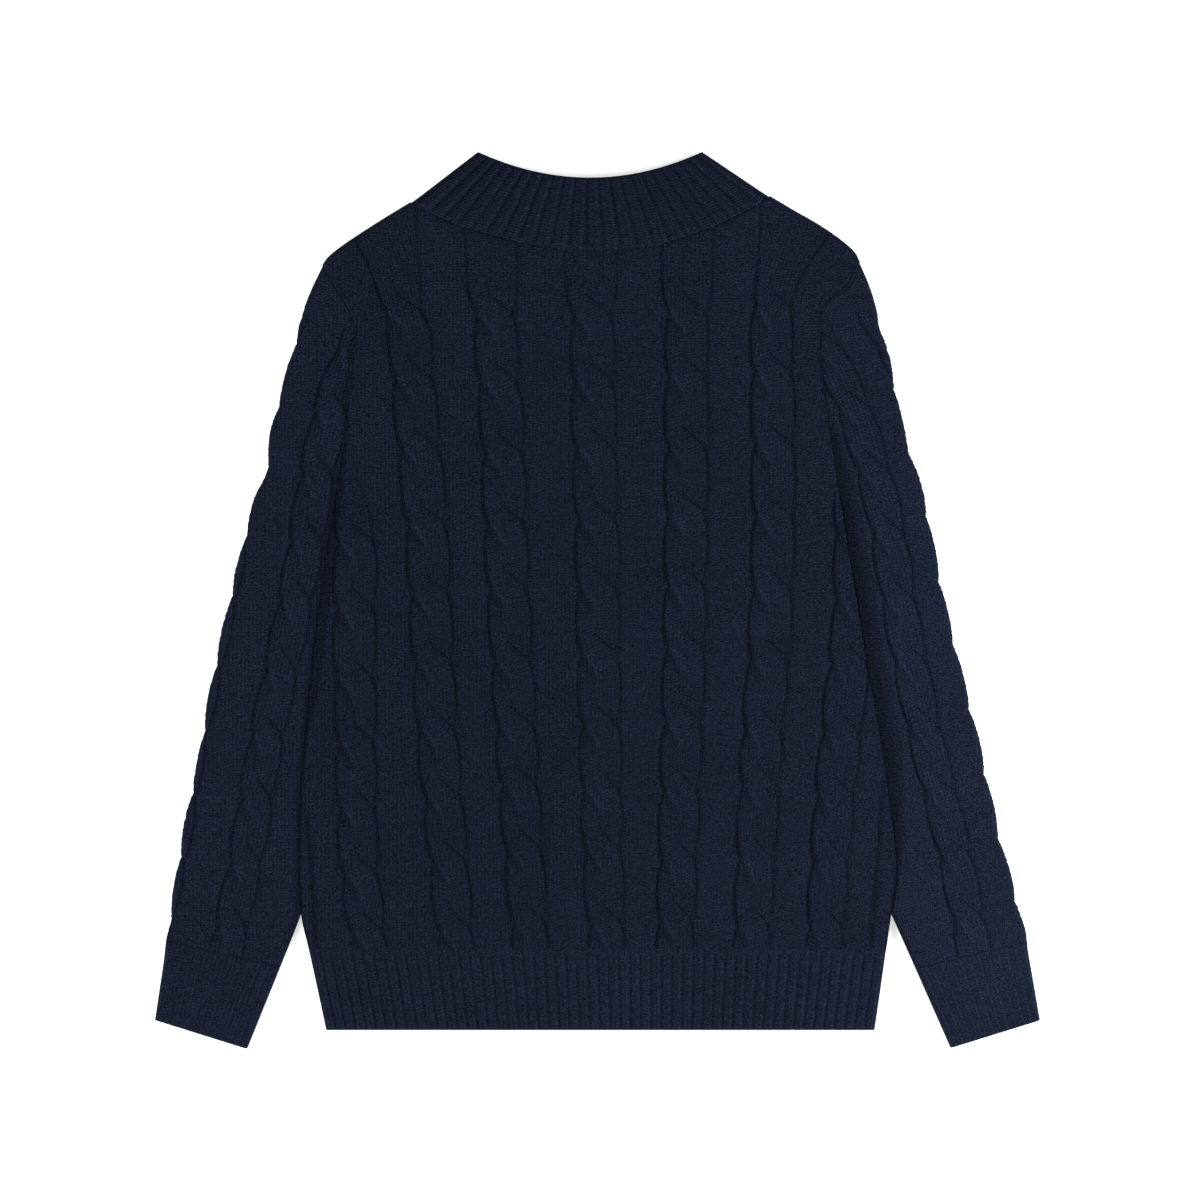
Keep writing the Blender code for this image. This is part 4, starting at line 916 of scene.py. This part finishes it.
# ======== back
def rope_tracks(y):
    """The edges of the panel and of its gutters at some levels, left to right and in order."""
    rows = [flanks["left"](y)]
    for rope in body_ropes:
        held = np.minimum(y, rope.top)
        outer, inner = rope.edges(held, 1), rope.edges(held, -1)
        rows += [outer[0], *inner, outer[1]]
    rows = np.array([*rows, flanks["right"](y)])
    # the outermost ropes end below the armholes, where their lines spread over the margin
    left, last = len(rows) - 6, len(rows) - 1
    for start, end, low, high in ((0, 5, 30.0, 84.0), (left, last, 20.0, 80.0)):
        spread = ease(y, low, high)
        for k, share in enumerate((0.30, 0.36, 0.66, 0.72), 1):
            even = rows[start] + share * (rows[end] - rows[start])
            rows[start + k] = blend(rows[start + k], even, spread)
    middle = last // 2
    for k in range(1, middle):
        rows[k] = np.maximum(rows[k], rows[k - 1] + LEAST_GAP)
    for k in range(last - 1, middle, -1):
        rows[k] = np.minimum(rows[k], rows[k + 1] - LEAST_GAP)
    return rows


def panel_columns():
    """(line to the left, share of the way to the next) of each column of the panel."""
    last = 4 * len(body_ropes)
    channel, rope = gathered(CHANNEL_COLUMNS, 0.55), gathered(ROPE_COLUMNS, 0.30)
    gutter, margin = gathered(GUTTER_COLUMNS, 0.0), gathered(MARGIN_COLUMNS, 0.25)
    found = []
    for k in range(last + 1):
        shares = margin if k in (0, last) else (channel, gutter, rope, gutter)[k % 4]
        found += [(k, share) for share in shares[:-1]]
    return [*found, (last, 1.0)]


def place_columns(levels):
    """x of every column at its own level, or at each of a column of levels."""
    columns = panel_columns()
    lines = rope_tracks(np.broadcast_to(levels, (len(levels), len(columns))))
    at = [blend(lines[k][:, c], lines[k + 1][:, c], share) for c, (k, share) in enumerate(columns)]
    return np.stack(at, axis=1)


def back_panel():
    left, right = spline(SHOULDER["left"]), spline(SHOULDER["right"])
    border = np.concatenate([left[:-1], spline(NECK_BACK)[:-1], right[::-1]])
    tops = column_tops(place_columns, 225.0, border)
    tops[0], tops[-1] = ARMHOLE["left"][-1][1], ARMHOLE["right"][-1][1]
    y = blend(HEM_TOP_Y, tops[None, :], evenly(PANEL_ROWS))
    x = place_columns(y)
    knit = knit_form(x, y, body_ropes, lone_gutters)
    rise = knit.rise + sum(crease(x, y, row) for row in CREASES)
    rise = rise + ROUGH * ripple(x, y, ROUGH_SIZE, BODY_SEED)
    # painted shade in the low join where the hem begins
    start = ease(y, HEM_TOP_Y, HEM_TOP_Y + 3.5)
    rise, tone = blend(JOIN_RISE, rise, start), blend(HEM_PAINTED_SHADE, knit.tone, start)

    from_left, from_right, _, _ = edge_distances(x, y)
    from_top = y[-1:] - y
    on_neck = (x[-1:] > NECK_BACK[0][0] + 1) & (x[-1:] < NECK_BACK[-1][0] - 1)
    held = round_off(from_top, np.where(on_neck, 0.88, 0.12), np.where(on_neck, 2.0, 6.0))
    # painted shadow under the collar's linking ridge; the whole panel a little darker, less so
    # towards the top
    tone = tone - 0.12 * bell(from_top, 4.5) * on_neck - 0.09 + 0.06 * ease(y, 0.0, 220.0)
    # painted shade in and beside each groove, and a painted highlight on each armhole seam's ridge
    for side, distance, low in (("left", from_left, 176.0), ("right", from_right, 182.0)):
        near, shade = groove(distance, y, side, "body")
        ridge = ease(y, low, low + 12.0) * bell(distance - RIDGE_AT, RIDGE_HALF)
        held = np.minimum(held, near)
        rise = rise + 0.9 * ridge
        tone = tone + shade + 0.35 * ridge
    knit.tone = tone
    return flat_backed("back_panel", x, y, blend(BACK_INNER, GROUND + rise, held), knit)


def back_hem():
    across = evenly(BODY_RIBS * RIB_COLUMNS + 1).T
    y = blend(HEM_Y, HEM_TOP_Y, evenly(HEM_ROWS)) + 0 * across
    left, right = flanks["left"](y), flanks["right"](y)
    x = left + across * (right - left)
    knit = rib_form(across * BODY_RIBS + 0 * y, y)
    # painted shade in the low join where the hem begins
    end = ease(y, HEM_TOP_Y, HEM_TOP_Y - 5.0)
    rise, knit.tone = blend(JOIN_RISE, knit.rise, end), blend(HEM_PAINTED_SHADE, knit.tone, end)
    rise = rise + ROUGH * ripple(x, y, ROUGH_SIZE, BODY_SEED) + crease(x, y, HEM_CREASE)
    held = np.minimum(round_off(x - x[:, :1], 0.12, 5.0), round_off(x[:, -1:] - x, 0.12, 5.0))
    held = np.minimum(held, round_off(y - HEM_Y, 0.55, 2.2))
    return flat_backed("back_hem", x, y, blend(BACK_INNER, GROUND + rise, held), knit)


# ======== sleeves
def across_quad(ends, tops, x, y):
    """Share of the way across a four-sided band, from its first side to its second, at a point."""
    across, up = np.full(np.shape(x), 0.5), np.full(np.shape(x), 0.5)
    twist = ends[0] - ends[1] - tops[0] + tops[1]
    for _ in range(6):
        by_across = (ends[1] - ends[0]) + np.multiply.outer(up, twist)
        by_up = (tops[0] - ends[0]) + np.multiply.outer(across, twist)
        at = ends[0] + np.multiply.outer(across, ends[1] - ends[0]) + by_up * up[..., None]
        miss_x, miss_y = x - at[..., 0], y - at[..., 1]
        area = by_across[..., 0] * by_up[..., 1] - by_across[..., 1] * by_up[..., 0]
        across = across + (miss_x * by_up[..., 1] - miss_y * by_up[..., 0]) / area
        up = up + (by_across[..., 0] * miss_y - by_across[..., 1] * miss_x) / area
    return across


def patch(inner, outer, low, high, across, along):
    """Places on a patch between four edges, by shares across and along it."""
    inner, outer = (resampled(edge, len(along))[:, None] for edge in (inner, outer))
    even = np.linspace(0, 1, 200)
    low, high = (
        np.stack([np.interp(across, even, edge[:, k]) for k in (0, 1)], axis=1)[None]
        for edge in (resampled(low, 200), resampled(high, 200))
    )
    u, v = across[None, :, None], along[:, None, None]
    corners = blend(blend(inner[:1], outer[:1], u), blend(inner[-1:], outer[-1:], u), v)
    placed = blend(inner, outer, u) + blend(low, high, v) - corners
    return placed[..., 0], placed[..., 1]


def pressed(rise, top, most, share):
    """Height of the hollows of a knit whose high parts lie on the floor."""
    return np.clip(top - rise, 0, most) * share


def sleeve(side):
    """A flattened tube with ropes on its upper side and, flattened, on its under side."""
    out, seed, inner_rows = OUT[side], SLEEVE_SEED[side], SLEEVE_INNER[side]
    outer = spline(SLEEVE_OUTER[side])[::-1]
    beside, seam = spline(SIDE[side]), spline(ARMHOLE[side], 1.0)
    beside = beside[beside[:, 1] > inner_rows[-1][1] + 1.0]
    beside[:, 0] -= out * GROOVE_LAP
    seam[:, 0] -= out * GROOVE_LAP
    inner = np.concatenate([spline(inner_rows), beside])
    ends, tops = np.array([outer[0], inner[0]]), np.array(CUFF_TOP[side])
    slope = (tops[1, 1] - tops[0, 1]) / (tops[1, 0] - tops[0, 0])
    first, spacing = SLEEVE_ROPE[side], track(SLEEVE_SPACING[side])
    second = [(y, x + out * float(spacing(y))) for y, x in first]
    ropes = [Rope(path, SLEEVE_ROPE_HALF, SLEEVE_CROSSINGS[side]) for path in (first, second)]
    fuzz = np.random.default_rng(seed).normal(0.0, FUZZ, (SLEEVE_ROWS, 1))

    def surface(columns, pull):
        """Places, knit and distances to the inner, outer, cuff and armhole edges."""
        across, along = gathered(columns, pull), np.linspace(0, 1, SLEEVE_ROWS)
        x, y = patch(inner, outer, ends[::-1], seam, across, along)
        over_cuff = y - (tops[0, 1] + slope * (x - tops[0, 0]))
        below = np.where(over_cuff > 0, 0.5 * ease(over_cuff, 4.0, 0.0),
                         1 - 0.5 * ease(over_cuff, -5.0, 0.0))
        ribs = rib_form(across_quad(ends, tops, x, y) * CUFF_RIBS, y)
        # flatter ribs on the cuffs, with less painted shade in their furrows
        ribs.rise, ribs.tone = 0.55 * ribs.rise + 0.25, 0.55 * ribs.tone
        knit = joined(ribs, knit_form(x, y, ropes), below)
        distances = edge_distances(x, y)
        calm = ease(distances[3], 4.0, 60.0)
        knit.rise = blend(1.1, knit.rise, 0.5 + 0.5 * calm) + 0.3 * ripple(x, y, 55.0, seed)
        # less painted shade near the armhole seam
        knit.tone = knit.tone * (0.4 + 0.6 * calm)
        swell = fuzz + SCALLOP * (0.4 - ropes[1].narrow(y + SCALLOP_DROP[side]))
        swell = swell * ease(y, -255.0, -230.0) * ease(y, 230.0, 205.0)
        return x + out * swell * np.exp(-distances[1] / 3.0), y, knit, distances

    shell = Shell()
    x, y, knit, (from_inner, from_outer, from_cuff, from_seam) = surface(SLEEVE_COLUMNS, 0.4)
    held, tone = groove(from_inner, y, side, "sleeve")
    free = ease(y, SIDE[side][3][1] - 10.0, SIDE[side][3][1] - 34.0)
    held = np.minimum(blend(held, round_off(from_inner, 0.0, 5.0), free),
                      round_off(from_outer, 0.0, 4.0))
    held = held * np.minimum(round_off(from_seam, 0.80, 2.0), round_off(from_cuff, 0.80, 2.0))
    # painted shade beside the groove, and painted light on the whole sleeve
    knit.tone = knit.tone + tone * (1 - free) + SLEEVE_PAINTED_LIGHT[side]
    rise = knit.rise + 0.5 * bell(from_seam - 1.6, RIDGE_HALF)
    upper = shell.face(x, y, blend(FOLD_Z, GROUND + rise, held), knit, flip=side == "left")

    x, y, knit, (from_inner, from_outer, _, _) = surface(UNDER_COLUMNS, 0.5)
    rounding = np.minimum(round_off(from_inner, 0.0, 4.5), round_off(from_outer, 0.0, 4.5))
    lift = pressed(knit.rise, STRAND_RISE * UNDER_SHARE, 3.0, UNDER_FLAT)
    middle = shell.add(x, y, blend(FOLD_Z, lift, rounding), knit, slice(1, -1))
    under = np.concatenate([upper[:, :1], middle, upper[:, -1:]], axis=1)
    shell.fill(under, flip=side == "right")

    kept = [*range(0, SLEEVE_ROWS - 1, SLIT_STEP), SLEEVE_ROWS - 1]
    even = np.linspace(0, 1, UNDER_COLUMNS + 1)
    slit = [np.array([np.interp(SLIT_SHARES, even, grid[row]) for row in kept]) for grid in (x, y)]
    roof, floor = shell.face(*slit, BACK_INNER), shell.face(*slit, FRONT_TOP)
    for column in (0, -1):
        shell.wall(floor[:, column], roof[:, column])
    above = [int(share * SLEEVE_COLUMNS) for share in SLIT_SHARES]
    below = [int(share * UNDER_COLUMNS) for share in SLIT_SHARES]
    for row in (0, -1):
        top, low, high_slit, low_slit = upper[row], under[row], roof[row], floor[row]
        shell.bridge(top, high_slit, above)
        shell.bridge(low, low_slit, below)
        inner_end = *low[below[0] : 0 : -1], *top[: above[0] + 1], high_slit[0], low_slit[0]
        outer_end = *top[above[-1] :], *low[-2 : below[-1] - 1 : -1], low_slit[-1], high_slit[-1]
        shell.polygons += [inner_end, outer_end]
    return shell.build("sleeve_%s_knit" % side)


# ======== fronts
def inside_z(x):
    """Level of the fronts' inner side, with the seat of the zip tapes."""
    return np.where(np.abs(x - ZIP_X) < TAPE_SEAT, TAPE_SEAT_TOP, FRONT_TOP)


def front(side):
    """A front panel, seen from below: ropes pressed flat on the surface it lies on."""
    edge_x = ZIP_X + OUT[side] * TRENCH_HALF
    across = evenly(FRONT_COLUMNS + 1).T

    def place(levels):
        return edge_x + (flanks[side](levels) - edge_x) * across

    border = np.concatenate([spline(NECK_FRONT), spline(SHOULDER[side])])
    tops = column_tops(place, 200.0, border[np.argsort(border[:, 0])])
    tops[-1] = ARMHOLE[side][-1][1]
    y = blend(HEM_Y, tops[None, :], evenly(FRONT_ROWS))
    x = place(y)
    low, high = flanks["left"](y), flanks["right"](y)
    ribs = rib_form(BODY_RIBS * (x - low) / (high - low), y)
    ropes = [*body_ropes[:3], *body_ropes[4:]]  # the zip takes the place of the middle one
    knit = joined(ribs, knit_form(x, y, ropes), np.where(y < HEM_TOP_Y, 1.0, 0.0))
    from_zip = np.abs(x - edge_x)
    lift = pressed(knit.rise, STRAND_RISE * UNDER_SHARE, 3.0, UNDER_FLAT)
    lift = blend(0.5, lift, ease(from_zip, 15.0, 19.0))
    rounding = round_off(edge_distances(x, y)[1], 0.0, 5.0)
    rim = np.minimum(round_off(y - HEM_Y, 0.0, 1.5), round_off(from_zip, 0.0, 1.2))
    shell = Shell()
    z = blend(FRONT_TOP - 0.3, lift, rounding) + 1 - rim
    outside = shell.face(x, y, z, knit, flip=side == "right")
    inner_z = inside_z(x)
    steps = np.nonzero(np.diff(inner_z[0]))[0]
    keep = {*range(0, FRONT_COLUMNS, FRONT_STEP), FRONT_COLUMNS, *steps.tolist()}
    keep = sorted({*keep, *(steps + 1).tolist()})
    inside = shell.face(x, y, inner_z, columns=keep, flip=side == "left")
    for end in (0, -1):
        shell.bridge(outside[end], inside[end], keep)
        shell.wall(outside[:, end], inside[:, end])
    return shell.build("front_%s_knit" % side)


# ======== collar
def collar():
    """A ribbed band round the neck, with the linking ridge that joins it to the body."""
    (low_left, high_left), (low_right, high_right) = COLLAR_FOLD["left"], COLLAR_FOLD["right"]
    necks = spline(NECK_BACK), spline(NECK_FRONT)

    def place(share, level, front_side):
        neck, dip = necks[front_side], COLLAR_DIP_Y[front_side]
        low_x = low_left[0] + share * (low_right[0] - low_left[0])
        low_y = np.interp(low_x, neck[:, 0], neck[:, 1]) + SEAM_GAP
        high_x = high_left[0] + share * (high_right[0] - high_left[0])
        off = (high_x - COLLAR_MIDDLE_X) / (high_right[0] - COLLAR_MIDDLE_X)
        high_y = dip + (high_right[1] - dip) * off**2
        return blend(low_x, high_x, level), blend(low_y, high_y, level)

    level = evenly(COLLAR_ROWS)
    share = evenly(COLLAR_RIBS * COLLAR_COLUMNS + 1).T
    x, y = place(share, level, 0)
    from_left, from_right, height, from_top = edge_distances(x, y)
    turned = share + COLLAR_WARP * np.sin(math.tau * share) / math.tau
    knit = rib_form(turned * COLLAR_RIBS + COLLAR_SHIFT + 0 * level, height)
    loops = 0.5 * np.cos(math.tau * x / LINK_PITCH) + 0.15 * ripple(x, 0 * x, 7.0, 9)
    y = y + loops * np.exp(-height / 1.5)
    start = ease(height, 2.5, 5.5)
    linked = 0.6 + 0.4 * np.cos(math.tau * (x + height) / LINK_PITCH)
    ridge = linked * bell(height - RIDGE_AT, 1.9)
    rise = 1.15 * knit.rise * start + 0.9 * ridge + 0.2 * ripple(x, y, 60.0, 5)
    # painted shade in the rib furrows, a painted highlight along the linking ridge, and the collar
    # a little darker
    knit.tone = 1.05 * knit.tone * start + 0.26 * ridge - 0.06
    knit.purl = knit.purl * start
    # room for the slider
    hollow = 0.9 * np.clip((16.0 - np.hypot((x - ZIP_X) / 1.2, y - SLIDER_Y)) / 5.0, 0, 1)
    held = np.minimum(round_off(from_left, 0.0, 6.0), round_off(from_right, 0.0, 6.0))
    held = held * np.minimum(round_off(height, 0.94, 1.6), round_off(from_top, 0.55, 2.4))
    shell = Shell()
    z = blend(COLLAR_FOLD_Z, COLLAR_GROUND + rise + 0.8 * hollow, held)
    upper = shell.face(x, y, z, knit)

    # the front band, underneath, in two halves from the zip to each fold
    halves = []
    for end, side in enumerate(OUT):
        (left_x, _), (right_x, _) = place(0.0, level, 1), place(1.0, level, 1)
        gap = (ZIP_X + OUT[side] * TRENCH_HALF - left_x) / (right_x - left_x)
        own = blend(gap, end, evenly(HALF_COLUMNS).T)
        fx, fy = place(own, level, 1)
        _, from_fold, height, _ = edge_distances(fx, fy)
        knit = rib_form(own * COLLAR_RIBS, height)
        from_zip = np.abs(fx - fx[:, :1])
        lift = pressed(knit.rise, RIB_RISE, 2.0, 0.5)
        lift = blend(0.2, lift, ease(from_zip, 8.0, 12.0))
        lift = lift + 0.6 * (1 - round_off(from_zip, 0.0, 1.0))
        fz = blend(COLLAR_FOLD_Z, lift, round_off(from_fold, 0.0, 4.5))
        own_part = shell.add(fx, fy, fz, knit, slice(-1))
        outside = np.concatenate([own_part, upper[:, -end, None]], axis=1)
        shell.fill(outside)
        inside = shell.face(fx, fy, inside_z(fx), columns=list(COLLAR_KEPT))
        shell.wall(outside[:, 0], inside[:, 0])
        halves.append((outside, inside))
    keep = np.linspace(6, share.size - 7, 21).astype(int)
    roof = shell.face(x, y, BACK_INNER + hollow, columns=keep)
    for end, (_, inside) in enumerate(halves):
        shell.wall(inside[:, -1], roof[:, -end])
    for row in (0, -1):
        shell.bridge(upper[row], roof[row], keep)
        folds = upper[row][1 : keep[0] + 1], upper[row][-2 : keep[-1] - 1 : -1]
        for end, (outside, inside) in enumerate(halves):
            low, top = outside[row], roof[row][-end]
            shell.bridge(low, inside[row], COLLAR_KEPT)
            shell.polygons.append([*low[COLLAR_KEPT[-1] :], *folds[end], top, inside[row][-1]])
    return shell.build("collar_knit")


# ======== zip
def zip_teeth():
    """The two rows of teeth, as one mesh of equal boxes with bevelled edges."""
    grid = bmesh.new()
    for k in range(int((CHAIN_TOP_Y - CHAIN_LOW_Y) / TOOTH_PITCH)):
        for way, half in ((-1, 0.0), (1, 0.5)):
            place = ZIP_X + way * TOOTH_OFF, CHAIN_LOW_Y + (k + half) * TOOTH_PITCH, ZIP_PLANE
            made = bmesh.ops.create_cube(grid, size=1.0)["verts"]
            bmesh.ops.scale(grid, vec=Vector(TOOTH_SIZE) * MM, verts=made)
            bmesh.ops.translate(grid, vec=Vector(place) * MM, verts=made)
    bmesh.ops.bevel(grid, geom=grid.edges, offset=TOOTH_BEVEL * MM, segments=1, profile=0.7,
                    affect="EDGES")
    mesh = bpy.data.meshes.new("zip_teeth")
    teeth = finished("zip_teeth", mesh, grid, 35.0, metal)
    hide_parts("zip_chain")


# ======== assembly
panel = back_panel()
hem = back_hem()
sleeve_left = sleeve("left")
sleeve_right = sleeve("right")
front_left = front("left")
front_right = front("right")
collar_knit = collar()
zip_teeth()

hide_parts("back")
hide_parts("sleeve_left")
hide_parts("sleeve_right")
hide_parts("front_left")
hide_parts("front_right")
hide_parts("collar")

for node, look in (("zip_tape_left", tape), ("zip_tape_right", tape), ("zip_box", metal),
                   ("zip_slider", metal), ("zip_pull", metal)):
    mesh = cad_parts[node].data
    mesh.materials.clear()
    mesh.materials.append(look)


# ======== stage
def stage():
    """A white floor, soft light from above and the camera straight over the garment."""
    reach = 6.0
    corners = [(-reach, -reach, 0), (reach, -reach, 0), (reach, reach, 0), (-reach, reach, 0)]
    mesh = bpy.data.meshes.new("floor")
    mesh.from_pydata(corners, [], [(0, 1, 2, 3)])
    mesh.materials.append(Nodes("floor_white").look(
        Base_Color=(0.86, 0.86, 0.86, 1.0), Roughness=0.9,
        Emission_Color=(1.0, 1.0, 1.0, 1.0), Emission_Strength=0.55))
    floor = stood("floor", mesh, (0, 0, -0.0003))

    for name, place, size, power in (
        ("key", (-1.7, -1.1, 1.65), 1.2, 60.0),
        ("fill", (1.0, -0.2, 0.6), 0.7, 17.0),
    ):
        lamp = bpy.data.lights.new(name, "AREA")
        lamp.size = size
        lamp.energy = power
        holder = stood(name, lamp, place)
        holder.rotation_mode = "QUATERNION"
        holder.rotation_quaternion = Vector(place).to_track_quat("Z", "Y")

    world = bpy.data.worlds.new("studio")
    world.use_nodes = True
    background = world.node_tree.nodes["Background"].inputs
    background[0].default_value = (1.0, 1.0, 1.0, 1.0)
    background[1].default_value = 0.42
    bpy.context.scene.world = world

    camera = bpy.data.cameras.new("camera")
    camera.sensor_width = 36.0
    camera.lens = camera.sensor_width * VIEW_DISTANCE / FIELD_WIDTH
    camera.clip_end = 50.0
    place = VIEW_X * MM, VIEW_Y * MM, VIEW_DISTANCE * MM
    bpy.context.scene.camera = stood("camera", camera, place)
    bpy.context.scene.view_settings.view_transform = "Standard"


stage()
